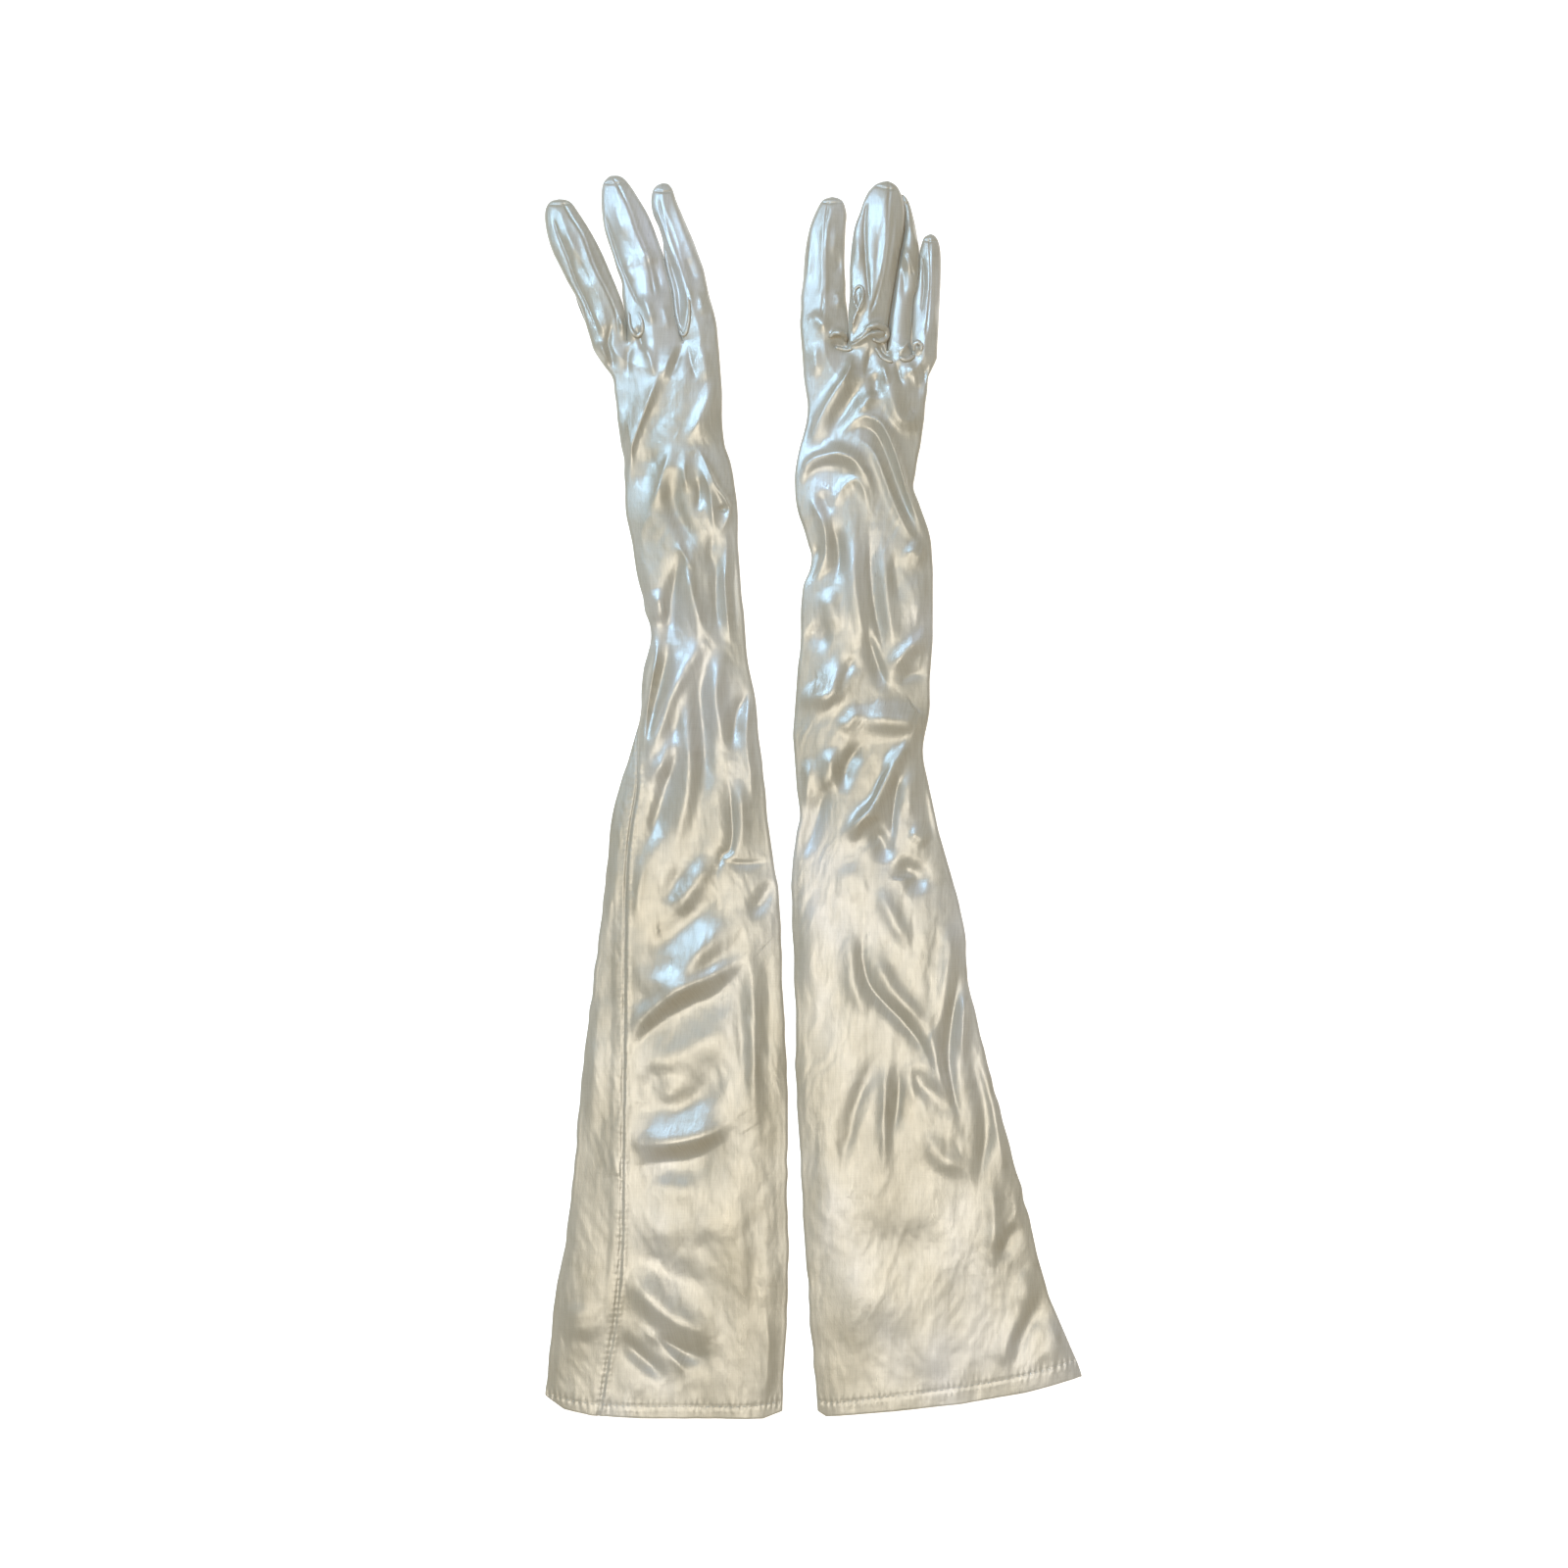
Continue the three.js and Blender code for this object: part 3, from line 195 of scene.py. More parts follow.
        'edge_l': [(-6.75, 233.4), (-6.25, 227.25), (-5.75, 220.25), (-5.25, 213.25), (-4.25, 206.25), (-3.25, 199.25), (-3.75, 192.25), (-5.25, 185.25), (-7.25, 178.25), (-8.75, 171.25), (-9.75, 164.25), (-9.75, 157.25), (-9.25, 150.25), (-7.75, 143.25), (-5.25, 136.25), (-3.25, 129.25), (-1.25, 122.25), (-2.25, 115.25), (-5.25, 108.25), (-6.25, 101.25), (-6.75, 94.25), (-6.75, 87.25), (-6.75, 80.25), (-7.25, 73.25), (-8.25, 66.25), (-8.75, 59.25), (-9.25, 52.25), (-9.75, 45.25), (-10.25, 38.25), (-10.75, 31.25), (-10.25, 24.25), (-9.75, 17.25), (-9.25, 10.25), (-8.75, 3.25), (-7.75, -3.75), (-7.25, -10.75), (-8.75, -17.75), (-9.75, -24.75), (-10.75, -31.75), (-11.25, -38.75), (-11.75, -45.75), (-11.25, -52.75), (-11.25, -59.75), (-11.25, -66.75), (-10.75, -73.75), (-10.25, -80.75), (-10.25, -87.75), (-10.25, -94.75), (-9.75, -101.75), (-9.25, -108.75), (-9.25, -115.75), (-9.25, -122.75), (-9.25, -129.75), (-9.75, -136.75), (-9.25, -143.75), (-8.75, -150.75), (-8.75, -157.75), (-8.25, -164.75), (-7.75, -171.75), (-7.25, -178.75), (-6.75, -185.75), (-6.75, -192.75), (-6.25, -199.75), (-5.75, -206.75), (-5.75, -213.75), (-5.25, -220.75), (-4.75, -227.75), (-4.25, -234.75), (-3.75, -241.75), (-2.75, -248.75), (-2.75, -255.75), (-2.25, -262.75), (-2.25, -269.75), (-1.25, -276.75), (-0.25, -283.75), (-0.25, -290.75), (0.75, -297.75), (1.25, -304.75), (2.25, -318.75)],
        'edge_r': [(62.75, 223.1), (62.05, 221.5), (60.9, 219.0), (59.55, 216.25), (58.25, 213.25), (57.75, 206.25), (56.75, 199.25), (56.25, 192.25), (55.25, 185.25), (54.25, 178.25), (52.75, 171.25), (51.75, 164.25), (50.75, 157.25), (53.25, 150.25), (55.75, 143.25), (58.25, 136.25), (59.75, 129.25), (60.25, 122.25), (60.75, 115.25), (60.75, 108.25), (60.75, 101.25), (60.75, 94.25), (60.75, 87.25), (60.75, 80.25), (60.25, 73.25), (59.75, 66.25), (59.25, 59.25), (59.25, 52.25), (59.25, 45.25), (58.25, 38.25), (56.75, 31.25), (55.75, 24.25), (56.25, 17.25), (57.75, 10.25), (59.25, 3.25), (60.75, -3.75), (62.25, -10.75), (63.75, -17.75), (65.75, -24.75), (67.75, -31.75), (69.75, -38.75), (71.75, -45.75), (73.75, -52.75), (75.25, -59.75), (76.75, -66.75), (77.75, -73.75), (77.75, -80.75), (78.25, -87.75), (78.75, -94.75), (80.25, -101.75), (82.25, -108.75), (83.75, -115.75), (85.25, -122.75), (87.25, -129.75), (88.75, -136.75), (90.75, -143.75), (92.25, -150.75), (94.75, -157.75), (96.25, -164.75), (98.25, -171.75), (100.25, -178.75), (101.75, -185.75), (103.75, -192.75), (106.25, -199.75), (107.25, -206.75), (109.75, -213.75), (111.25, -220.75), (112.75, -227.75), (114.25, -234.75), (116.25, -241.75), (118.25, -248.75), (120.25, -255.75), (123.25, -262.75), (126.25, -269.75), (129.25, -276.75), (132.25, -283.75), (135.25, -290.75), (137.25, -297.75), (137.75, -304.75), (137.75, -318.75)],
        'hem': [(0, -313.75), (0.03, -316.25), (0.3, -313.0), (0.54, -309.5), (0.78, -303.75), (1, -296.0)],
        'root': [(-6.75, 233.4), (60.75, 223.4)],
        'fingers': {
            'right_index': {
                'L': [(-6.75, 233.4), (-7.25, 241.25), (-6.75, 248.25), (-6.75, 255.25), (-5.75, 262.25), (-5.25, 269.25), (-4.75, 276.25), (-3.75, 283.25), (-2.25, 290.25), (0.25, 297.25), (3.75, 303.75), (6.25, 305.5), (9.25, 306.35)],
                'R': [(17.0, 229.9), (17.35, 238.75), (17.15, 247.25), (16.25, 255.25), (16.25, 262.25), (15.75, 269.25), (15.75, 276.25), (16.0, 283.25), (16.25, 290.25), (16.75, 297.25), (15.25, 303.25), (12.75, 305.5), (9.25, 306.35)],
            },
            'right_middle': {
                'L': [(17.0, 229.9), (17.35, 238.75), (17.55, 247.25), (18.25, 255.25), (18.25, 262.25), (18.25, 269.25), (18.75, 276.25), (19.25, 281.25), (20.75, 290.25), (23.25, 297.25), (25.25, 303.25), (27.75, 308.25), (31.25, 311.75), (34.75, 313.25), (37.75, 313.75)],
                'R': [(37.25, 226.9), (37.25, 235.25), (38.0, 243.25), (39.5, 252.75), (42.0, 268.25), (43.75, 277.75), (45.5, 287.25), (46.0, 295.25), (45.75, 301.25), (44.25, 307.25), (41.75, 311.5), (37.75, 313.75)],
            },
            'right_ring': {
                'L': [(27.75, 228.3), (29.25, 241.25), (30.75, 256.25), (31.75, 271.25), (33.25, 286.25), (35.25, 295.25), (38.25, 302.25), (40.75, 306.25), (43.75, 307.75)],
                'R': [(49.75, 225.05), (50.25, 236.25), (51.0, 253.25), (52.75, 258.75), (53.75, 268.25), (53.85, 278.75), (53.0, 284.75), (51.75, 292.25), (49.75, 300.25), (48.25, 304.25), (46.25, 307.0), (43.75, 307.75)],
            },
            'right_little': {
                'L': [(49.75, 225.05), (50.05, 233.75), (50.35, 243.75), (50.9, 253.25), (52.5, 260.25), (53.55, 268.25), (53.95, 277.25), (55.0, 282.25), (56.5, 285.75), (59.75, 287.5)],
                'R': [(62.75, 223.1), (63.0, 230.25), (63.5, 237.25), (64.0, 246.25), (64.5, 255.75), (64.9, 266.25), (64.9, 275.25), (64.25, 281.25), (62.5, 285.75), (59.75, 287.5)],
            },
        },
        'lower': ['right_ring'],
        'strokes': [
            ([(21.75, 220.75), (15.75, 212.25), (10.25, 204.75), (5.25, 196.25), (0.75, 187.25), (-4.75, 176.25)], 7.15, 2.75, 2.29, 0.38),
            ([(26.75, 213.25), (20.75, 204.75), (13.75, 194.25), (6.75, 182.75)], 3.85, 4.95, -2.29, 0.38),
            ([(31.25, 207.25), (26.75, 200.25), (21.75, 193.25)], 3.3, 3.3, 1.46, 0.38),
            ([(36.25, 217.25), (38.75, 206.25), (43.75, 192.25), (51.75, 191.25), (56.75, 197.25)], 4.4, 4.4, 2.29, 0.38),
            ([(49.75, 218.75), (52.75, 208.75), (54.75, 201.25)], 4.4, 3.85, -1.25, 0.38),
            ([(30.75, 216.25), (31.25, 208.25), (30.75, 201.25)], 3.3, 3.3, -1.46, 0.38),
            ([(15.75, 186.25), (20.25, 190.75), (26.75, 192.75), (34.25, 188.75), (40.75, 175.75), (46.25, 158.75), (52.75, 142.75), (58.75, 128.75)], 2.48, 2.2, 2.81, 0.38),
            ([(18.25, 185.25), (24.75, 187.25), (31.25, 184.25), (36.25, 175.25), (40.75, 163.25), (45.75, 149.75), (52.75, 133.75)], 2.48, 2.75, -3.12, 0.38),
            ([(16.25, 183.75), (23.75, 180.75), (30.75, 174.25), (35.75, 162.25), (40.75, 149.25), (47.25, 135.75), (55.25, 126.25)], 1.93, 2.75, 1.98, 0.38),
            ([(2.75, 178.75), (9.75, 176.25), (18.75, 173.25), (28.75, 168.75)], 4.4, 2.75, 1.98, 0.38),
            ([(-8.75, 156.25), (-6.25, 165.25), (-0.25, 171.75), (9.75, 173.75), (18.75, 171.25), (24.75, 165.75), (28.75, 157.25), (30.25, 146.25)], 2.2, 4.95, 2.7, 0.38),
            ([(-4.75, 154.25), (-2.25, 163.25), (4.75, 168.25), (13.75, 167.75), (21.25, 164.25)], 2.2, 13.2, -0.83, 0.38),
            ([(9.75, 145.25), (13.25, 154.75), (17.75, 159.75), (21.75, 160.25), (25.75, 154.25), (28.25, 143.25)], 2.2, 2.75, 1.04, 0.38),
            ([(3.75, 156.25), (5.75, 148.75), (9.75, 142.25)], 3.3, 3.85, -0.94, 0.38),
            ([(-3.25, 156.25), (0.25, 147.75), (4.25, 139.25), (5.75, 131.25), (5.25, 121.25), (0.75, 112.25), (-4.25, 106.25)], 3.85, 2.2, 1.87, 0.38),
            ([(7.75, 140.25), (11.75, 130.25), (12.75, 118.75), (9.75, 107.25)], 3.3, 3.3, -2.08, 0.38),
            ([(2.75, 128.25), (-2.25, 120.25), (-6.25, 116.25)], 2.2, 2.2, -1.46, 0.38),
            ([(21.25, 145.25), (20.25, 132.25), (20.25, 116.25), (21.75, 100.25), (24.75, 83.75), (29.75, 66.25)], 3.3, 4.95, 1.77, 0.38),
            ([(27.75, 138.75), (28.25, 126.25), (28.75, 111.25), (30.75, 95.25), (33.75, 81.25), (38.25, 65.25)], 5.5, 1.93, -2.18, 0.38),
            ([(34.75, 133.75), (35.75, 118.75), (36.75, 103.75), (38.75, 86.25), (41.75, 70.25)], 3.3, 5.5, 1.25, 0.38),
            ([(46.75, 128.25), (52.75, 123.25), (58.75, 121.25)], 4.4, 5.5, 1.66, 0.38),
            ([(40.75, 126.25), (41.75, 111.25), (43.75, 96.25)], 3.3, 3.3, -0.83, 0.38),
            ([(52.25, 116.25), (53.75, 101.25), (52.75, 86.25)], 4.95, 4.95, 1.04, 0.38),
            ([(-7.75, 53.75), (-0.25, 50.25), (7.75, 52.25), (13.75, 61.25), (17.75, 70.25)], 6.6, 5.5, 3.12, 0.38),
            ([(-4.25, 86.25), (2.75, 81.25), (9.75, 78.75)], 6.6, 5.5, -1.25, 0.38),
            ([(4.75, 106.25), (8.75, 93.75), (10.75, 82.25)], 4.95, 4.95, 1.25, 0.38),
            ([(21.75, 46.25), (28.75, 40.25), (40.75, 38.75), (54.75, 38.25), (58.75, 45.25)], 6.6, 6.6, 3.12, 0.38),
            ([(20.75, 72.25), (15.75, 61.25), (12.75, 50.25)], 2.75, 3.85, -1.87, 0.38),
            ([(26.75, 86.25), (30.75, 72.25), (35.75, 59.25), (40.75, 55.25)], 2.75, 4.4, -2.5, 0.38),
            ([(59.75, 85.25), (52.75, 78.75), (45.75, 72.25), (38.75, 61.25)], 4.4, 3.85, 2.08, 0.38),
            ([(24.75, 46.25), (18.75, 38.25), (12.75, 31.25)], 3.85, 4.4, 1.46, 0.38),
            ([(58.75, 61.25), (49.75, 62.25), (42.25, 56.25)], 3.3, 3.3, -1.04, 0.38),
            ([(52.75, 35.25), (47.25, 26.25), (40.75, 17.25), (35.25, 6.25), (28.75, -5.75), (18.75, -16.75), (10.75, -22.75)], 4.4, 3.3, 3.12, 0.38),
            ([(41.75, 18.75), (34.75, 11.25), (29.75, 0.25), (22.75, -9.75)], 2.2, 2.75, -1.25, 0.38),
            ([(26.75, 28.25), (20.75, 22.25), (16.25, 13.75), (14.75, 0.25)], 3.85, 3.85, -2.5, 0.38),
            ([(9.75, 26.25), (7.75, 13.75), (5.75, 1.25)], 4.4, 4.4, 1.66, 0.38),
            ([(7.75, 8.75), (3.75, -3.75), (-1.25, -18.75), (-6.75, -33.75)], 3.3, 4.4, -2.08, 0.38),
            ([(-1.25, 21.25), (-3.25, 6.25), (-5.25, -8.75)], 3.3, 3.85, 1.25, 0.38),
            ([(43.75, 13.25), (41.75, 0.25), (40.25, -11.25), (39.25, -25.75)], 1.65, 2.75, -1.87, 0.38),
            ([(49.75, 16.25), (48.75, 1.25), (48.75, -13.75)], 3.85, 4.4, 1.46, 0.38),
            ([(57.25, 6.25), (58.75, -8.75), (61.25, -23.75)], 2.75, 3.3, -1.04, 0.38),
            ([(19.75, -24.75), (23.75, -12.75), (32.25, -9.75), (38.75, -11.75)], 4.4, 3.3, 1.87, 0.38),
            ([(26.75, -16.75), (31.25, -18.75), (35.75, -24.75), (37.25, -34.75)], 3.85, 4.4, -2.29, 0.38),
            ([(15.75, -33.75), (18.75, -43.75), (20.75, -56.25)], 6.6, 6.6, 0.83, 0.38),
            ([(47.75, -16.75), (52.75, -19.75), (58.75, -24.75)], 4.4, 4.4, 1.46, 0.38),
            ([(39.75, -33.75), (47.25, -37.75), (52.75, -41.75), (44.75, -46.75)], 5.5, 5.5, -2.5, 0.38),
            ([(33.75, -43.75), (37.25, -56.25), (43.75, -68.75), (49.75, -81.25)], 4.4, 4.4, 1.46, 0.38),
            ([(26.75, -59.75), (24.75, -71.25), (25.25, -84.25), (28.75, -96.25), (37.25, -106.25), (45.75, -114.75), (54.75, -126.75), (61.25, -139.75), (64.75, -148.75)], 2.2, 3.85, -1.87, 0.38),
            ([(20.75, -63.75), (18.75, -81.25), (20.75, -98.75), (27.25, -113.75)], 4.95, 4.4, 1.46, 0.38),
            ([(32.25, -73.75), (33.75, -86.25), (39.75, -98.75), (49.75, -109.75), (59.75, -123.75)], 4.4, 4.4, 1.66, 0.38),
            ([(66.75, -58.75), (68.75, -78.75), (67.25, -98.75), (65.75, -118.75)], 4.4, 4.4, 1.46, 0.38),
            ([(74.75, -86.25), (72.25, -101.25), (70.25, -116.25), (68.75, -135.25), (71.75, -153.75), (76.75, -171.25)], 2.75, 3.3, -2.91, 0.38),
            ([(78.75, -93.75), (76.75, -108.75), (75.75, -123.75), (76.75, -138.75)], 2.75, 3.3, 2.08, 0.38),
            ([(57.75, -113.75), (61.25, -128.75), (64.75, -143.75), (70.75, -158.75)], 3.85, 4.4, 1.87, 0.38),
            ([(48.75, -136.75), (53.75, -145.75), (60.75, -154.75)], 4.43, 4.43, -1.3, 0.38),
            ([(34.75, -125.75), (29.75, -138.75), (23.75, -152.75), (17.75, -173.75), (12.75, -196.75)], 3.16, 5.06, -1.3, 0.38),
            ([(36.75, -131.75), (36.25, -148.75), (35.75, -168.75), (35.75, -196.75)], 3.16, 3.16, 1.78, 0.38),
            ([(41.75, -132.75), (43.25, -143.75), (42.75, -156.25), (39.75, -177.75)], 2.53, 3.16, -1.46, 0.38),
            ([(47.75, -131.25), (49.75, -143.75), (50.75, -158.75)], 3.79, 3.79, 0.81, 0.38),
            ([(56.75, -168.75), (64.75, -183.75), (73.75, -186.75), (80.75, -182.75)], 6.33, 5.69, 1.62, 0.38),
            ([(54.75, -147.75), (62.25, -153.75), (72.25, -163.75)], 5.06, 5.06, -0.81, 0.38),
            ([(77.75, -126.75), (82.75, -141.25), (86.75, -156.25), (87.75, -173.75), (85.25, -191.25), (83.75, -207.75)], 3.16, 3.79, -1.78, 0.38),
            ([(82.75, -126.75), (88.75, -141.25), (93.25, -158.75), (95.75, -178.75), (96.75, -198.75)], 3.79, 3.79, 1.78, 0.38),
            ([(90.75, -193.75), (91.75, -208.75), (91.75, -224.75), (90.75, -241.25)], 3.79, 3.79, 1.46, 0.38),
            ([(103.25, -216.25), (98.75, -227.75), (93.75, -238.75)], 4.43, 4.43, -1.46, 0.38),
            ([(104.75, -238.75), (107.25, -251.25), (106.75, -263.75)], 5.06, 5.06, 0.97, 0.38),
            ([(118.25, -253.75), (111.75, -264.75), (105.25, -275.75), (101.25, -291.75)], 5.06, 4.43, -1.95, 0.38),
            ([(109.75, -258.75), (103.75, -269.75), (97.75, -282.75), (94.75, -293.75)], 5.06, 5.06, 1.14, 0.38),
            ([(124.75, -266.25), (122.75, -278.75), (119.75, -291.25)], 5.06, 5.06, 0.81, 0.38),
            ([(-0.25, -43.75), (-1.25, -73.75), (-1.25, -113.75)], 5.5, 5.5, 0.94, 0.38),
            ([(4.75, -153.75), (5.75, -193.75), (7.75, -238.75)], 7.59, 7.59, 0.65, 0.38),
            ([(24.75, -213.75), (34.75, -223.75), (54.75, -228.75), (74.75, -224.75)], 10.12, 10.12, -0.65, 0.38),
            ([(19.75, -243.75), (34.75, -258.75), (59.75, -266.25)], 11.38, 11.38, 0.65, 0.38),
        ],
        'fine': [
            ([(7.75, 304.25), (6.25, 295.25), (5.25, 281.25), (5.25, 266.25), (4.75, 253.75), (3.75, 242.25)], 1.65, 2.2, 1.25, 0.38),
            ([(10.25, 290.25), (10.75, 283.25), (9.25, 275.25)], 2.75, 2.75, 0.83, 0.38),
            ([(9.25, 275.25), (12.75, 271.25), (9.75, 266.25)], 2.75, 2.75, -0.62, 0.38),
            ([(9.75, 258.25), (12.75, 253.25), (11.75, 247.25)], 2.75, 2.75, 1.14, 0.38),
            ([(-1.25, 247.25), (3.75, 240.25), (8.75, 236.25)], 3.3, 3.3, 1.25, 0.38),
            ([(-0.75, 287.25), (-2.25, 275.25), (-2.75, 261.25)], 2.75, 2.75, 0.52, 0.38),
            ([(38.75, 312.25), (37.75, 299.75), (37.25, 287.25), (36.25, 275.75), (34.5, 265.25), (31.25, 252.75), (28.25, 244.75)], 1.65, 2.2, 1.46, 0.38),
            ([(27.0, 303.25), (25.75, 290.25), (26.25, 274.75), (27.25, 262.25), (28.25, 251.25)], 1.65, 1.65, -0.94, 0.38),
            ([(22.25, 286.25), (22.75, 275.25), (22.75, 266.25)], 2.2, 2.2, 0.83, 0.38),
            ([(32.75, 293.75), (32.25, 278.75), (30.75, 263.75)], 2.75, 2.75, -0.73, 0.38),
            ([(41.75, 296.25), (40.75, 281.25), (38.25, 266.25), (35.75, 253.75)], 2.2, 2.2, 0.73, 0.38),
            ([(21.25, 258.25), (20.75, 251.25), (22.75, 247.25), (24.75, 252.25), (23.25, 259.25)], 1.38, 1.38, 1.66, 0.38),
            ([(22.75, 248.25), (20.25, 241.25), (18.75, 235.25)], 1.65, 1.65, 1.46, 0.38),
            ([(58.75, 285.75), (59.25, 275.25), (59.25, 261.25), (58.25, 246.25), (56.75, 233.75)], 1.65, 2.2, 1.04, 0.38),
            ([(55.25, 275.25), (56.25, 261.25), (54.75, 247.25)], 1.65, 1.65, -0.73, 0.38),
            ([(61.25, 256.25), (61.25, 246.25), (59.75, 236.25)], 2.2, 2.2, 0.83, 0.38),
            ([(15.75, 228.25), (21.75, 230.75), (29.25, 234.75), (36.75, 234.75), (41.75, 230.25)], 1.38, 1.65, 2.81, 0.38),
            ([(24.75, 236.75), (30.75, 239.25), (36.75, 238.75), (41.25, 233.75)], 1.65, 1.65, 2.25, 0.38),
            ([(32.75, 231.25), (35.25, 226.25), (40.25, 223.25)], 1.38, 1.38, -2.53, 0.38),
            ([(43.75, 224.25), (45.75, 228.25), (48.75, 230.75), (52.25, 227.75), (49.75, 223.25)], 1.65, 1.65, 2.25, 0.38),
            ([(7.25, 234.25), (11.75, 235.75), (16.75, 233.25), (18.75, 230.25)], 1.65, 1.65, 2.53, 0.38),
            ([(7.75, 230.25), (12.75, 229.25), (17.75, 227.25)], 1.65, 1.65, -1.97, 0.38),
            ([(19.75, 225.25), (17.75, 217.25), (13.75, 208.25)], 2.2, 2.2, 1.4, 0.38),
            ([(28.75, 229.25), (27.75, 221.25), (25.75, 212.25)], 2.2, 2.2, -1.68, 0.38),
            ([(34.75, 222.25), (36.25, 214.25), (37.75, 207.25)], 2.2, 2.2, 1.68, 0.38),
            ([(41.75, 222.25), (43.25, 214.25), (45.75, 207.25)], 1.65, 1.65, -1.68, 0.38),
            ([(47.75, 221.25), (50.75, 214.25), (52.75, 207.25)], 2.2, 2.2, 1.4, 0.38),
            ([(-0.25, 231.25), (0.75, 222.25), (0.75, 212.25)], 3.3, 3.3, 1.12, 0.38),
            ([(54.75, 220.25), (56.75, 214.25), (56.75, 208.25)], 2.2, 2.2, -1.26, 0.38),
            ([(7.75, 304.25), (6.25, 295.25), (5.25, 281.25), (5.25, 266.25), (4.75, 253.75), (3.75, 242.25)], 0.55, 0.55, -0.75, 0.08),
            ([(3.52, 303.33), (9.34, 302.53), (15.17, 303.33)], 0.45, 0.45, -0.6000000000000001, 0.05),
            ([(38.75, 312.25), (37.75, 299.75), (37.25, 287.25), (36.25, 275.75), (34.5, 265.25), (31.25, 252.75), (28.25, 244.75)], 0.55, 0.55, -0.75, 0.08),
            ([(27.0, 303.25), (25.75, 290.25), (26.25, 274.75), (27.25, 262.25), (28.25, 251.25)], 0.55, 0.55, -0.75, 0.08),
            ([(30.58, 311.08), (36.96, 309.14), (43.33, 308.81)], 0.45, 0.45, -0.6000000000000001, 0.05),
            ([(58.75, 285.75), (59.25, 275.25), (59.25, 261.25), (58.25, 246.25), (56.75, 233.75)], 0.55, 0.55, -0.75, 0.08),
            ([(55.25, 275.25), (56.25, 261.25), (54.75, 247.25)], 0.55, 0.55, -0.75, 0.08),
            ([(55.77, 284.06), (59.57, 283.0), (63.36, 283.53)], 0.45, 0.45, -0.6000000000000001, 0.05),
        ],
        'lower_strokes': [
            ([(44.25, 281.25), (48.25, 273.25), (50.75, 265.25)], 1.65, 2.2, 1.46, 0.38),
            ([(46.75, 293.75), (50.75, 286.25), (52.75, 278.25)], 2.2, 2.2, 0.83, 0.38),
            ([(43.75, 275.25), (45.75, 263.75), (45.75, 251.25)], 2.2, 2.2, -1.46, 0.38),
            ([(44.25, 281.25), (48.25, 273.25), (50.75, 265.25)], 0.55, 0.55, -0.75, 0.08),
            ([(38.78, 303.1), (43.75, 302.26), (48.71, 303.01)], 0.45, 0.45, -0.6000000000000001, 0.05),
        ],
        'seam': [(37.25, 126.25), (47.25, 86.25), (49.75, 26.25), (53.75, -23.75), (59.75, -73.75), (67.25, -123.75), (77.25, -173.75), (92.25, -223.75), (105.75, -263.75), (115.75, -298.75)],
        'hem_stitch': [(2.25, -308.75), (9.75, -309.25), (35.75, -306.25), (71.25, -301.75), (102.25, -296.25), (133.25, -288.25)],
        'curls': {
            'hand': [[(31.25, 228.25, 0.6), (32.75, 225.75, 0.9), (35.75, 222.25, 1.0), (40.25, 220.75, 0.75)], [(43.25, 223.25, 0.9), (46.25, 221.95, 1.2), (49.75, 223.25, 1.1), (51.25, 224.35, 0.8)], [(19.75, 227.5, 0.6), (15.75, 227.25, 0.9), (10.75, 228.5, 0.8)]],
            'right_index': [[(7.75, 232.75, 0.8), (9.5, 234.6, 1.1), (12.75, 235.25, 1.2), (15.5, 233.75, 1.2), (16.25, 231.5, 1.0)]],
            'right_middle': [[(19.0, 230.75, 0.6), (22.75, 232.5, 0.85), (26.25, 235.5, 0.95), (29.25, 238.25, 0.8)], [(25.75, 234.75, 0.8), (28.0, 238.0, 1.2), (32.25, 239.0, 1.4), (36.5, 237.0, 1.4), (36.75, 233.25, 1.2), (33.25, 231.25, 1.0), (29.75, 232.25, 0.75)], [(20.75, 249.75, 0.5), (20.15, 254.75, 0.65), (21.25, 258.15, 0.7), (23.25, 259.25, 0.75), (24.75, 257.25, 0.7), (24.85, 253.75, 0.65), (23.25, 249.25, 0.65), (21.0, 244.25, 0.65), (19.5, 239.25, 0.55)]],
            'right_little': [[(50.75, 226.25, 0.8), (51.0, 229.25, 1.1), (52.75, 230.75, 1.1), (54.5, 229.25, 0.95), (54.25, 226.25, 0.65)]],
        },
        'thumb': {
            'root': (2.75, 146.25),
            'tip': (29.75, 200.25),
        },
    },
}

TABLES = {
    'zb': [(256.25, 2.9), (141.25, 2.9), (46.25, 0.1), (-343.75, 0.1)],
    'T': [(256.25, 3.6), (232.25, 3.3), (181.25, 2.5), (126.25, 2.3), (86.25, 2.2), (6.25, 2.0), (-93.75, 1.8), (-243.75, 1.5), (-313.75, 1.2)],
    'R': [(256.25, 11), (181.25, 14), (106.25, 14), (-43.75, 14), (-313.75, 12)],
    'wrinkle': [(331.25, 0.12), (232.25, 0.2), (166.25, 0.32), (56.25, 0.42), (-43.75, 0.5), (-143.75, 0.5), (-218.75, 0.46), (-313.75, 0.42)],
}

LOOK = {
    'deep': (0.46, 0.405, 0.285),
    'mid': (0.56, 0.515, 0.41),
    'pale': (0.645, 0.618, 0.568),
    'rough': 0.325,
    'metal': 0.26,
    'spec': 0.8,
    'spec_tint': (1.0, 1.0, 1.0),
    'aniso': 0.3,
    'sheen': 0.2,
    'coat': 0.35,
    'coat_rough': 0.28,
    'bump': 1.0,
}
LIGHT = {
    'world': ((1.0, 0.89, 0.675), 0.35),
    'floor': 0.75,
    'areas': [('overhead', 270.0, 80.0, 2.3, 1.15, 1.0, 17.0, (1.0, 0.948, 0.878)), ('sky', 98.0, 56.0, 1.5, 1.7, 0.9, 3.8, (0.54, 0.62, 1.0)), ('window', 129.0, 53.0, 1.35, 0.62, 0.36, 9.4, (0.33, 0.625, 1.0))],
}


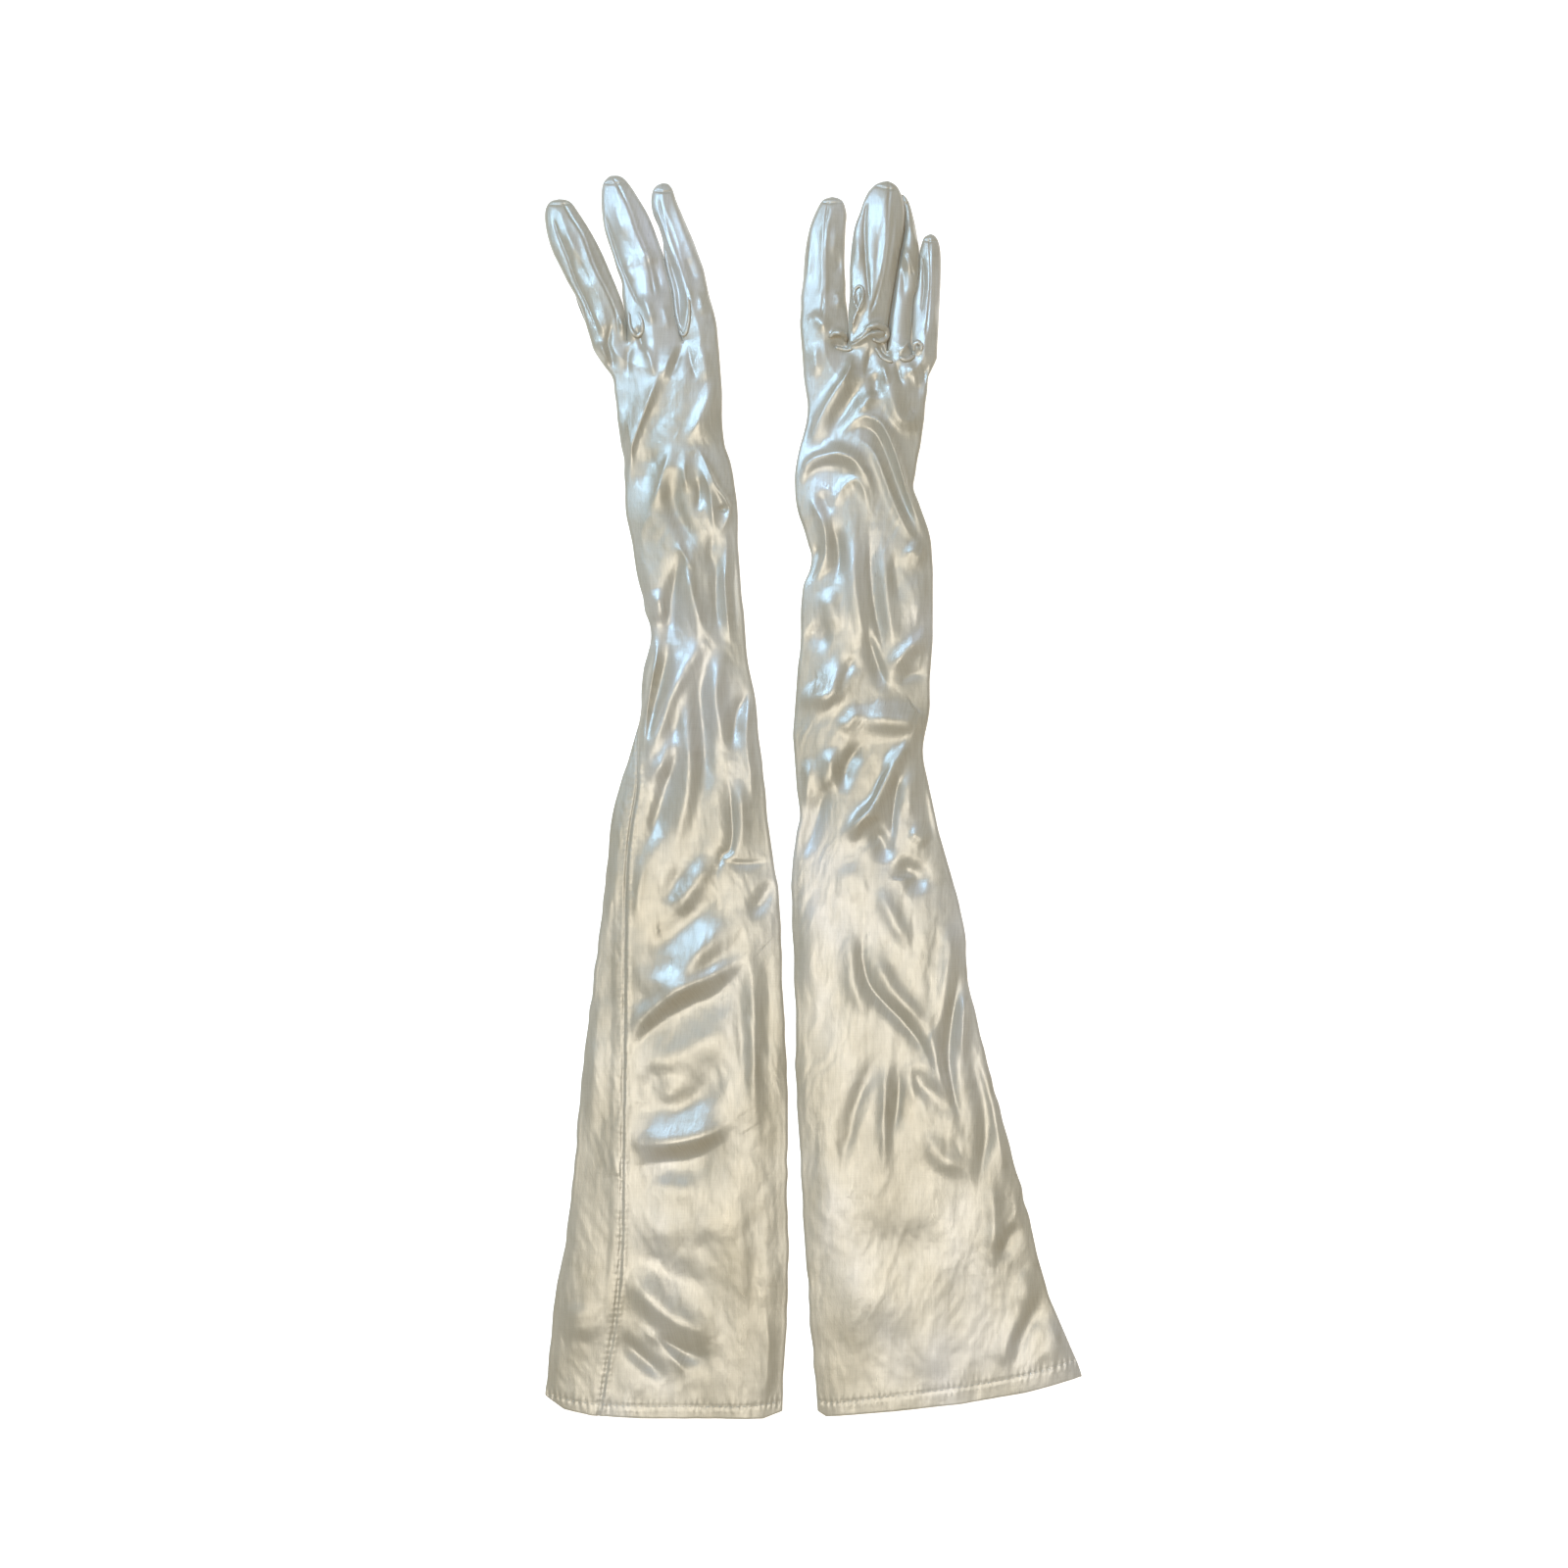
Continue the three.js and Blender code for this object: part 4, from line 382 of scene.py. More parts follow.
M = 0.001
SIDES = ("left", "right")
Y_WRIST, Y_ELBOW, Y_MOUTH = 118.75, -116.25, -316.5
HEM_W = 9.0
scene = bpy.context.scene

# ------------------------------------------------------------------ camera
cam = bpy.data.cameras.new("camera")
CAM_D, FIELD = 1.15, 0.8           # metres above the gloves, and width of the square view there
cam.sensor_width = 36.0
cam.lens = cam.sensor_width * CAM_D / FIELD
cam_o = bpy.data.objects.new("camera", cam)
scene.collection.objects.link(cam_o)
VIEW_X, VIEW_Y = -15.25, 6.25      # middle of the view
cam_o.location = (VIEW_X * M, VIEW_Y * M, CAM_D + 0.003)
scene.camera = cam_o


# ------------------------------------------------------------------ small maths
def smooth(a, b, t):
    q = np.clip((t - a) / (b - a), 0, 1)
    return q * q * (3 - 2 * q)


def densify(pts, step=1.0):
    """A smooth curve through the points (Catmull-Rom), sampled about every step."""
    p = np.asarray(pts, float)
    if len(p) < 3:
        n = max(2, int(np.hypot(*(p[1] - p[0])) / step) + 1)
        return p[0] + (p[1] - p[0]) * np.linspace(0, 1, n)[:, None]
    e = np.vstack([2 * p[0] - p[1], p, 2 * p[-1] - p[-2]])
    out = []
    for i in range(1, len(e) - 2):
        a, b, c, d = e[i - 1], e[i], e[i + 1], e[i + 2]
        n = max(2, int(np.hypot(*(c - b)) / step) + 1)
        t = np.linspace(0, 1, n, endpoint=False)[:, None]
        out.append(0.5 * ((2 * b) + (c - a) * t + (2 * a - 5 * b + 4 * c - d) * t ** 2 + (3 * b - a - 3 * c + d) * t ** 3))
    return np.vstack(out + [p[-1:]])


def along(pts):
    s = np.zeros(len(pts))
    s[1:] = np.cumsum(np.hypot(*np.diff(pts, axis=0).T))
    return s


def resample(pts, ts):
    """Points at the fractions ts of a polyline's length."""
    s = along(pts)
    q = np.asarray(ts) * s[-1]
    return np.stack([np.interp(q, s, pts[:, 0]), np.interp(q, s, pts[:, 1])], -1)


def seg_dist(P, A, B, cap):
    """Least distance from points P (n,2) to segments A-B (m,2), at most cap."""
    out = np.full(len(P), cap)
    order = np.argsort(P[:, 1], kind="stable")
    step = 3000
    lo_s, hi_s = np.minimum(A[:, 1], B[:, 1]), np.maximum(A[:, 1], B[:, 1])
    for i in range(0, len(P), step):
        ids = order[i:i + step]
        q = P[ids]
        near = (lo_s <= q[:, 1].max() + cap) & (hi_s >= q[:, 1].min() - cap)
        if not near.any():
            continue
        a, b = A[near], B[near]
        ab = b - a
        L2 = np.maximum((ab ** 2).sum(1), 1e-12)
        ap = q[:, None, :] - a[None]
        t = np.clip((ap * ab[None]).sum(-1) / L2, 0, 1)
        d = np.hypot(ap[..., 0] - t * ab[None, :, 0], ap[..., 1] - t * ab[None, :, 1])
        out[ids] = np.minimum(out[ids], d.min(1))
    return out


def _hash(ix, iy, seed):
    h = (ix.astype(np.int64) * 374761393 + iy.astype(np.int64) * 668265263 + seed * 1442695041) & 0xFFFFFFFF
    h = ((h ^ (h >> 13)) * 1274126177) & 0xFFFFFFFF
    return ((h ^ (h >> 16)) & 0xFFFF) / 65535.0


def noise(x, y, seed):
    """Smooth gradient noise, about -1 to 1."""
    ix, iy = np.floor(x), np.floor(y)
    fx, fy = x - ix, y - iy
    total = 0
    ux, uy = fx ** 3 * (fx * (fx * 6 - 15) + 10), fy ** 3 * (fy * (fy * 6 - 15) + 10)
    g = []
    for dx in (0, 1):
        for dy in (0, 1):
            a = _hash(ix + dx, iy + dy, seed) * 2 * math.pi
            g.append(np.cos(a) * (fx - dx) + np.sin(a) * (fy - dy))
    total = (g[0] * (1 - ux) + g[2] * ux) * (1 - uy) + (g[1] * (1 - ux) + g[3] * ux) * uy
    return total * 1.55


def stroke_field(P, strokes):
    """Sum of soft ridges (+) and valleys (-) drawn along curves."""
    out = np.zeros(len(P))
    for pts, wl, wr, amp, taper in strokes:
        c = densify(pts, 1.5)
        reach = 2.6 * max(wl, wr)
        lo, hi = c.min(0) - reach, c.max(0) + reach
        ids = np.flatnonzero(((P >= lo) & (P <= hi)).all(1))
        if not len(ids):
            continue
        q = P[ids]
        a, b = c[:-1], c[1:]
        ab = b - a
        L = np.maximum(np.hypot(ab[:, 0], ab[:, 1]), 1e-9)
        s0 = along(c)
        best = np.full(len(q), 1e9)
        side = np.zeros(len(q))
        at = np.zeros(len(q))
        for k in range(len(a)):
            ap = q - a[k]
            t = np.clip((ap @ ab[k]) / L[k] ** 2, 0, 1)
            v = ap - t[:, None] * ab[k]
            d = np.hypot(v[:, 0], v[:, 1])
            m = d < best
            best[m] = d[m]
            side[m] = (ab[k, 0] * v[m, 1] - ab[k, 1] * v[m, 0])
            at[m] = s0[k] + t[m] * L[k]
        w = np.where(side > 0, wl, wr)
        # soft change of width across the line's own ends
        g = np.exp(-(best / w) ** (1.4 + 0.6 * smooth(2.2, 5.0, w)))
        e = np.minimum(at, s0[-1] - at) / max(s0[-1] * taper, 1e-6)
        e = np.clip(e, 0, 1)
        e = e * e * (3 - 2 * e) * 0.92 + 0.08
        out[ids] += amp * g * e
    return out


# ------------------------------------------------------------------ one glove's surface
class Glove:
    def __init__(self, side):
        self.side = side
        d = DATA[side]
        self.l = densify(d["edge_l"], 2.0)
        self.r = densify(d["edge_r"], 2.0)
        # edges as functions of y, from the fingers down
        self.ly, self.lx = self.l[::-1, 1], self.l[::-1, 0]
        self.ry, self.rx = self.r[::-1, 1], self.r[::-1, 0]
        self.fing = {}
        segs = [self.l, self.r]
        for f, c in d["fingers"].items():
            L, R = densify(c["L"], 1.2), densify(c["R"], 1.2)
            self.fing[f] = (L, R)
            if f not in d["lower"]:
                segs += [L, R]
        A = np.vstack([s[:-1] for s in segs])
        B = np.vstack([s[1:] for s in segs])
        self.A, self.B = A, B
        self.strokes = d["strokes"]
        self.fine = d["fine"]
        self.lower_strokes = d["lower_strokes"]
        self.seam = densify(d["seam"], 2.0)
        self.hemline = densify(d["hem_stitch"], 1.0)

    def xl(self, y):
        return np.interp(y, self.ly, self.lx)

    def xr(self, y):
        return np.interp(y, self.ry, self.rx)

    def tab(self, key, y):
        t = TABLES[key]
        return np.interp(-y, [-r[0] for r in t], [r[1] for r in t])

    def distance(self, P):
        return seg_dist(P, self.A, self.B, 24.0)

    def wrinkles(self, P, d):
        x, y = P[:, 0], P[:, 1]
        seed = 11 if self.side == "left" else 47
        wx = x + 5 * noise(x / 31, y / 43, seed) + 1.4 * noise(x / 9, y / 13, seed + 1)
        wy = y + 6 * noise(x / 27, y / 39, seed + 2)
        big = noise(wx / 34, wy / 62, seed + 3)
        tilt = 0.55 if self.side == "left" else -0.4
        a = wx + tilt * wy * 0.35
        mid = noise(a / 12, wy / 40, seed + 4)
        mid2 = noise((wx - 0.5 * wy) / 11, (wy + 0.3 * wx) / 27, seed + 5)
        ridged = 1 - np.abs(noise(a / 16, wy / 55, seed + 6)) * 2.2
        fine = noise(a / 3.4, wy / 9.0, seed + 7)
        fine2 = noise(wx / 1.9, wy / 3.1, seed + 8)
        amount = self.tab("wrinkle", y)
        patch = 0.55 + 0.6 * smooth(-0.35, 0.5, noise(x / 45, y / 60, seed + 9))
        z = (0.30 + 0.75 * amount) * big + 0.34 * noise(wx / 21 + 7, wy / 33, seed + 12) * (0.5 + amount) + amount * patch * (0.42 * mid + 0.34 * mid2 + 0.30 * np.clip(ridged, 0, 1))
        z += 0.085 * fine * (0.6 + amount) + 0.05 * noise(wx / 5.2 + 9, wy / 6.1, seed + 14) + 0.018 * fine2
        return z

    def seam_shape(self, P):
        """Groove, allowance ridge and puckers of the long side seam, where it lies on the back."""
        if self.side != "left":
            return 0
        a, b = self.seam[:-1], self.seam[1:]
        lo = self.seam.min(0) - 12
        hi = self.seam.max(0) + 12
        out = np.zeros(len(P))
        ids = np.flatnonzero(((P >= lo) & (P <= hi)).all(1))
        q = P[ids]
        xs = np.interp(q[:, 1], self.seam[::-1, 1], self.seam[::-1, 0])
        o = q[:, 0] - xs
        on = 1 - smooth(0.0, 70.0, q[:, 1])
        yy = q[:, 1]
        groove = -0.55 * np.exp(-(o / 0.55) ** 2)
        allow = 0.20 * smooth(-7.0, -4.5, o) * (1 - smooth(-1.4, -0.2, o))
        puff = 0.34 * np.exp(-((o - 1.6) / 1.4) ** 2)
        puck = 0.10 * np.cos(yy * 2 * math.pi / 3.1 + 1.5 * noise(yy / 9, yy * 0, 5)) * np.exp(-(np.abs(o) / 2.6) ** 2)
        out[ids] = (groove + allow + puff + puck) * on
        return out

    def hem_shape(self, P):
        """Stitched line, the doubled band below it and its puckers."""
        hy = np.interp(P[:, 0], self.hemline[:, 0], self.hemline[:, 1])
        o = P[:, 1] - hy           # above the stitched line is positive
        near = np.exp(-(np.abs(o) / 9.0))
        phase = P[:, 0] * 2 * math.pi / 3.2 + 2.2 * noise(P[:, 0] / 11, P[:, 0] * 0 + 3, 9)
        groove = -0.15 * np.exp(-(o / 0.7) ** 2) * (1 + 0.8 * noise(P[:, 0] / 17, P[:, 0] * 0 + 8, 19))
        band = 0.16 * (1 - smooth(-1.6, 0.0, o))
        puck = 0.20 * np.cos(phase) * np.exp(-((o - 0.2) / 2.4) ** 2) * (0.7 + 0.9 * noise(P[:, 0] / 13, P[:, 0] * 0 + 5, 23))
        ripple = 0.22 * noise(P[:, 0] / 5.5, o / 14 + 4, 31) * np.exp(-np.abs(o) / 7)
        z = np.where(o > 14, 0, groove + band + puck + ripple)
        return z

    def surface(self, P, d, ze, T, R, low):
        """Height of the upper layer of cloth at the points."""
        if d is None:
            d = self.distance(P)
        q = np.clip(d / 1.9, 0, 1)
        prof = 0.36 * np.sqrt(np.clip(1 - (1 - q) ** 2, 0, 1)) + 0.64 * (1 - np.exp(-1.5 * d / R))
        z = ze + T * prof
        if low:
            return z + 0.12 * noise(P[:, 0] / 6, P[:, 1] / 17, 61) * smooth(0, 3, d)
        z += 2.1 * (1 - np.exp(-(d / 15) ** 1.7))
        z += stroke_field(P, self.strokes) * smooth(0.0, 5.5, d)
        z += stroke_field(P, self.fine) * smooth(0.0, 2.6, d)
        z += self.wrinkles(P, d) * smooth(0.2, 6.0, d)
        # a deep fold stops on the layer beneath
        k = 0.03 + 0.5 * smooth(0.3, 5.0, d)
        low_at = ze + 0.25 * smooth(0.3, 4.0, d)
        z = low_at + k * np.logaddexp(0.0, (z - low_at) / k)
        return z + self.seam_shape(P) * smooth(0.0, 2.0, d)


def shell(name, P, top_n, closed_tip, thick, ext0, ext1, wrap=True):
    """Normals of a cloth tube from a grid of points: P[row, column, 3], columns run round the tube. ext0 and ext1 say
    whether the first and last rows only guide the normals and are dropped. Returns the kept rows and their normals."""
    rows, cols = P.shape[:2]
    dv = np.zeros_like(P)
    dv[1:-1] = P[2:] - P[:-2]
    dv[0] = P[1] - P[0]
    dv[-1] = P[-1] - P[-2]
    if wrap:
        du = np.roll(P, -1, 1) - np.roll(P, 1, 1)
    else:
        du = np.zeros_like(P)
        du[:, 1:-1] = P[:, 2:] - P[:, :-2]
        du[:, 0] = P[:, 1] - P[:, 0]
        du[:, -1] = P[:, -1] - P[:, -2]
    n = np.cross(du, dv)
    ln = np.linalg.norm(n, axis=-1, keepdims=True)
    n = n / np.maximum(ln, 1e-12)
    if closed_tip:
        tip_dir = P[-1, 0] - P[-4].mean(0)
        tip_dir /= np.linalg.norm(tip_dir)
        n[-1] = tip_dir
    a, b = (1 if ext0 else 0), (rows - 1 if ext1 else rows)
    P, n = P[a:b], n[a:b]
    rows = len(P)
    return P, n


def make_mesh(name, layers, material, uv=True):
    """layers: (P, n, wrap, closed_tip, thick). Builds a closed shell of outer and inner cloth faces."""
    verts, norms, faces4, faces3 = [], [], [], []
    base = 0
    for P, n, wrap, tip, thick in layers:
        rows, cols = P.shape[:2]
        th = thick if np.ndim(thick) else np.full((rows, cols), float(thick))
        inner = P - n * th[..., None]
        full_rows = rows - 1 if tip else rows
        idx = np.arange(full_rows * cols).reshape(full_rows, cols)
        count = full_rows * cols + (1 if tip else 0)
        for k, (Q, nn, flip) in enumerate(((P, n, False), (inner, -n, True))):
            off = base + k * count
            verts.append(Q[:full_rows].reshape(-1, 3))
            norms.append(nn[:full_rows].reshape(-1, 3))
            if tip:
                verts.append(Q[-1, :1])
                norms.append(nn[-1, :1])
            i0 = idx[:-1]
            i1 = idx[1:]
            if wrap:
                q = np.stack([i0, np.roll(i0, -1, 1), np.roll(i1, -1, 1), i1], -1).reshape(-1, 4)
            else:
                q = np.stack([i0[:, :-1], i0[:, 1:], i1[:, 1:], i1[:, :-1]], -1).reshape(-1, 4)
            q = q + off
            faces4.append(q[:, ::-1] if flip else q)
            if tip:
                last = idx[-1]
                t3 = np.stack([last, np.roll(last, -1), np.full(cols, count - 1)], -1) + off
                faces3.append(t3[:, ::-1] if flip else t3)
        # rims
        def rim(o_row, rev):
            o = base + o_row
            i = base + count + o_row
            if wrap:
                q = np.stack([o, i, np.roll(i, -1), np.roll(o, -1)], -1)
            else:
                q = np.stack([o[:-1], i[:-1], i[1:], o[1:]], -1)
            faces4.append(q[:, ::-1] if rev else q)
        rim(idx[0], False)
        if not tip:
            rim(idx[-1], True)
        if not wrap:
            o, i = base + idx[:, 0], base + count + idx[:, 0]
            faces4.append(np.stack([o[:-1], o[1:], i[1:], i[:-1]], -1))
            o, i = base + idx[:, -1], base + count + idx[:, -1]
            faces4.append(np.stack([o[:-1], i[:-1], i[1:], o[1:]], -1))
        base += 2 * count
    V = np.vstack(verts) * M
    N = np.vstack(norms)
    F4 = np.vstack(faces4)
    F3 = np.vstack(faces3) if faces3 else np.zeros((0, 3), int)
    me = bpy.data.meshes.new(name)
    loops = np.concatenate([F4.ravel(), F3.ravel()]).astype(np.int32)
    starts = np.concatenate([np.arange(len(F4)) * 4, len(F4) * 4 + np.arange(len(F3)) * 3]).astype(np.int32)
    me.vertices.add(len(V))
    me.vertices.foreach_set("co", V.astype(np.float32).ravel())
    me.loops.add(len(loops))
    me.loops.foreach_set("vertex_index", loops)
    me.polygons.add(len(starts))
    me.polygons.foreach_set("loop_start", starts)
    me.polygons.foreach_set("use_smooth", np.ones(len(starts), bool))
    me.update(calc_edges=True)
    me.validate()
    if uv:
        layer = me.uv_layers.new(name="cloth")
        uvs = V[loops][:, :2] + V[loops][:, 2:] * [[0.7, 0.0]]
        layer.data.foreach_set("uv", uvs.astype(np.float32).ravel())
    if len(me.loops) == len(loops):
        me.normals_split_custom_set_from_vertices(N.tolist())
    me.materials.append(material)
    o = bpy.data.objects.new(name, me)
    scene.collection.objects.link(o)
    return o


def stitches(g, top, side):
    """Hem thread: short rounded stitches sunk in the stitched line."""
    hl = densify(g.hemline, 0.5)
    s = along(hl)
    pitch, length, rad = 3.1, 2.1, 0.2
    ks = np.arange(1.2, s[-1] - 1.2, pitch)
    flat = top.reshape(-1, 3)
    V, F, Nn = [], [], []
    nu, nv = 8, 7
    off = 0
    rng = np.random.default_rng(5 if side == "left" else 8)
    for k in ks:
        c = np.array([np.interp(k, s, hl[:, 0]), np.interp(k, s, hl[:, 1])])
        e = np.array([np.interp(k + 0.5, s, hl[:, 0]), np.interp(k + 0.5, s, hl[:, 1])]) - c
        e /= np.linalg.norm(e)
        w = (flat[:, 0] - c[0]) ** 2 + (flat[:, 1] - c[1]) ** 2
        z = flat[np.argmin(w), 2] + 0.12
        L_ = length * (0.92 + 0.16 * rng.random())
        tilt = (rng.random() - 0.5) * 0.12
        u = np.array([e[0] * math.cos(tilt) - e[1] * math.sin(tilt), e[0] * math.sin(tilt) + e[1] * math.cos(tilt)])
        vv = np.array([-u[1], u[0]])
        for i in range(nv):
            a = math.pi * (i + 0.5) / nv
            x = -math.cos(a) * L_ / 2
            r = rad * math.sin(a) ** 0.6
            for j in range(nu):
                b = 2 * math.pi * j / nu
                V.append((c[0] + u[0] * x + vv[0] * r * math.cos(b), c[1] + u[1] * x + vv[1] * r * math.cos(b),
                          z + r * math.sin(b) - 0.10 * (2 * x / L_) ** 2))
        for i in range(nv - 1):
            for j in range(nu):
                F.append((off + i * nu + j, off + (i + 1) * nu + j, off + (i + 1) * nu + (j + 1) % nu, off + i * nu + (j + 1) % nu))
        F.append(tuple(off + j for j in range(nu)))
        F.append(tuple(off + (nv - 1) * nu + j for j in reversed(range(nu))))
        off += nu * nv
    me = bpy.data.meshes.new(f"{side}_hem_thread")
    me.from_pydata((np.array(V) * M).tolist(), [], F)
    me.polygons.foreach_set("use_smooth", np.ones(len(me.polygons), bool))
    lay = me.uv_layers.new(name="cloth")
    co = np.empty(len(me.vertices) * 3)
    me.vertices.foreach_get("co", co)
    li = np.empty(len(me.loops), np.int32)
    me.loops.foreach_get("vertex_index", li)
    lay.data.foreach_set("uv", co.reshape(-1, 3)[li][:, :2].astype(np.float32).ravel())
    me.materials.append(THREAD)
    o = bpy.data.objects.new(f"{side}_hem_thread", me)
    scene.collection.objects.link(o)
    return o


def curl(g, path, z_base=None, lift=0.5):
    """A rolled edge of cloth lying on the surface: rows along the path (x, y, radius), tapered at both ends."""
    p = np.array(path, float)
    c = densify(p[:, :2], 0.45)
    s = along(c)
    sp = along(p[:, :2])
    r = np.interp(s / s[-1], sp / sp[-1], p[:, 2])
    e = np.clip(np.minimum(s, s[-1] - s) / 1.6, 0, 1)
    r = r * (0.12 + 0.88 * np.sqrt(1 - (1 - e) ** 2))
    q = len(c)
    ze = g.tab("zb", c[:, 1]) + 1.4
    if z_base is None:
        z = g.surface(c, None, ze, g.tab("T", c[:, 1]), g.tab("R", c[:, 1]), False)
    else:
        z = np.full(q, float(z_base))
    k = np.ones(9) / 9
    z = np.convolve(np.pad(z, 4, mode="edge"), k, mode="valid") + lift
    d = np.gradient(c, axis=0)
    d /= np.maximum(np.linalg.norm(d, axis=1, keepdims=True), 1e-9)
    side = np.stack([-d[:, 1], d[:, 0], np.zeros(q)], 1)
    up = np.array([0.0, 0.0, 1.0])
    cols = 14
    a = -np.arange(cols) / cols * 2 * math.pi
    w = 1 + 0.16 * noise(s[:, None] / 2.3 + 3, np.cos(a)[None, :] * 1.3 + np.zeros((q, 1)), 77)
    ring = side[:, None] * np.cos(a)[None, :, None] * 1.15 + up * np.sin(a)[None, :, None] * 0.85
    C = np.concatenate([c, z[:, None]], 1)
    P = C[:, None] + ring * (r[:, None] * w)[..., None]
    dv = np.gradient(P, axis=0)
    du = (np.roll(P, -1, 1) - np.roll(P, 1, 1)) / 2
    n = np.cross(du, dv)
    n /= np.maximum(np.linalg.norm(n, axis=-1, keepdims=True), 1e-12)
    if (n * ring).sum() < 0:
        P, n = P[:, ::-1], -n[:, ::-1]
        dv = np.gradient(P, axis=0)
    th = np.repeat((r * 0.3)[:, None], cols, 1)
    return P, n, True, False, th


# ------------------------------------------------------------------ material
def satin(name, warm=0.0, shade=1.0):
    """Stretch satin: a warp-faced weave with slubs, soft colour variation and a sheen, on coordinates along the cloth."""
    m = bpy.data.materials.new(name)
    m.use_nodes = True
    nt = m.node_tree
    N, L = nt.nodes, nt.links
    N.clear()

    def node(kind, **k):
        n = N.new(kind)
        for a, v in k.items():
            setattr(n, a, v)
        return n

    out = node("ShaderNodeOutputMaterial")
    p = node("ShaderNodeBsdfPrincipled")
    L.new(p.outputs[0], out.inputs[0])
    uv = node("ShaderNodeUVMap", uv_map="cloth")

    def mapped(sx, sy, rot=0.0):
        mp = node("ShaderNodeMapping")
        mp.inputs["Scale"].default_value = (sx, sy, 1)
        mp.inputs["Rotation"].default_value = (0, 0, rot)
        L.new(uv.outputs[0], mp.inputs[0])
        return mp.outputs[0]

    def tex(scale_x, scale_y, detail=2.0, rough=0.55, rot=0.0, distort=0.0):
        n = node("ShaderNodeTexNoise")
        n.inputs["Scale"].default_value = 1.0
        n.inputs["Detail"].default_value = detail
        n.inputs["Roughness"].default_value = rough
        n.inputs["Distortion"].default_value = distort
        L.new(mapped(scale_x, scale_y, rot), n.inputs["Vector"])
        return n.outputs[0]

    def ramp(src, stops):
        r = node("ShaderNodeValToRGB")
        e = r.color_ramp.elements
        while len(e) > 1:
            e.remove(e[-1])
        e[0].position, e[0].color = stops[0][0], (*stops[0][1], 1)
        for pos, c in stops[1:]:
            q = e.new(pos)
            q.color = (*c, 1)
        L.new(src, r.inputs[0])
        return r.outputs[0]

    def mix(kind, fac, a, b):
        n = node("ShaderNodeMix", data_type="RGBA", blend_type=kind)
        if isinstance(fac, float):
            n.inputs[0].default_value = fac
        else:
            L.new(fac, n.inputs[0])
        L.new(a, n.inputs[6])
        L.new(b, n.inputs[7])
        return n.outputs[2]

    def math_(op, a, b=None, c=None):
        n = node("ShaderNodeMath", operation=op)
        for i, v in enumerate((a, b, c)):
            if v is None:
                continue
            if isinstance(v, (int, float)):
                n.inputs[i].default_value = v
            else:
                L.new(v, n.inputs[i])
        return n.outputs[0]

    def maprange(src, a, b, c, d):
        n = node("ShaderNodeMapRange")
        for i, v in enumerate((a, b, c, d)):
            n.inputs[i + 1].default_value = v
        L.new(src, n.inputs[0])
        return n.outputs[0]

    # colour: broad warm and cool drifts, lengthwise slubs, faint handling marks. One uv unit is one metre.
    # k scales the whole colour: below 1 it paints shade on the palm side and fourchette copies, above 1 it gives the
    # thread its own lighter tone
    k = shade
    base = ramp(tex(16, 9, 3.0), [(0.28, (LOOK["deep"][0] * k, LOOK["deep"][1] * k, LOOK["deep"][2] * k)),
                                  (0.52, (LOOK["mid"][0] * k, LOOK["mid"][1] * k, LOOK["mid"][2] * k)),
                                  (0.74, (LOOK["pale"][0] * k, LOOK["pale"][1] * k, LOOK["pale"][2] * k))])
    slub = ramp(tex(1700, 60, 2.0, 0.6), [(0.30, (0.86, 0.85, 0.83)), (0.60, (1.0, 1.0, 1.0))])
    weft = ramp(tex(90, 2100, 2.0, 0.6), [(0.30, (0.92, 0.915, 0.90)), (0.62, (1.0, 1.0, 1.0))])
    marks = ramp(tex(48, 30, 4.0, 0.7), [(0.30, (0.84, 0.825, 0.78)), (0.47, (1.0, 1.0, 1.0)), (0.80, (1.0, 1.0, 1.0))])
    c = mix("MULTIPLY", 0.8, base, slub)
    c = mix("MULTIPLY", 0.7, c, weft)
    c = mix("MULTIPLY", 0.8, c, marks)
    L.new(c, p.inputs["Base Color"])

    # gloss: a little uneven, duller where the cloth is rubbed
    r = maprange(tex(70, 30, 3.0), 0.3, 0.7, LOOK["rough"] - 0.035, LOOK["rough"] + 0.05)
    r2 = maprange(tex(900, 120, 2.0), 0.3, 0.7, -0.03, 0.03)
    L.new(math_("ADD", r, r2), p.inputs["Roughness"])
    p.inputs["Metallic"].default_value = LOOK["metal"]
    p.inputs["IOR"].default_value = 1.52
    p.inputs["Specular IOR Level"].default_value = LOOK["spec"]
    p.inputs["Specular Tint"].default_value = (*LOOK["spec_tint"], 1)
    p.inputs["Anisotropic"].default_value = LOOK["aniso"]
    p.inputs["Anisotropic Rotation"].default_value = 0.0
    t = node("ShaderNodeTangent", direction_type="UV_MAP", uv_map="cloth")
    L.new(t.outputs[0], p.inputs["Tangent"])
    p.inputs["Sheen Weight"].default_value = LOOK["sheen"]
    p.inputs["Sheen Roughness"].default_value = 0.35
    p.inputs["Sheen Tint"].default_value = (0.96, 0.97, 1.0, 1)
    p.inputs["Coat Weight"].default_value = LOOK["coat"]
    p.inputs["Coat Roughness"].default_value = LOOK["coat_rough"]
    p.inputs["Coat IOR"].default_value = 1.45

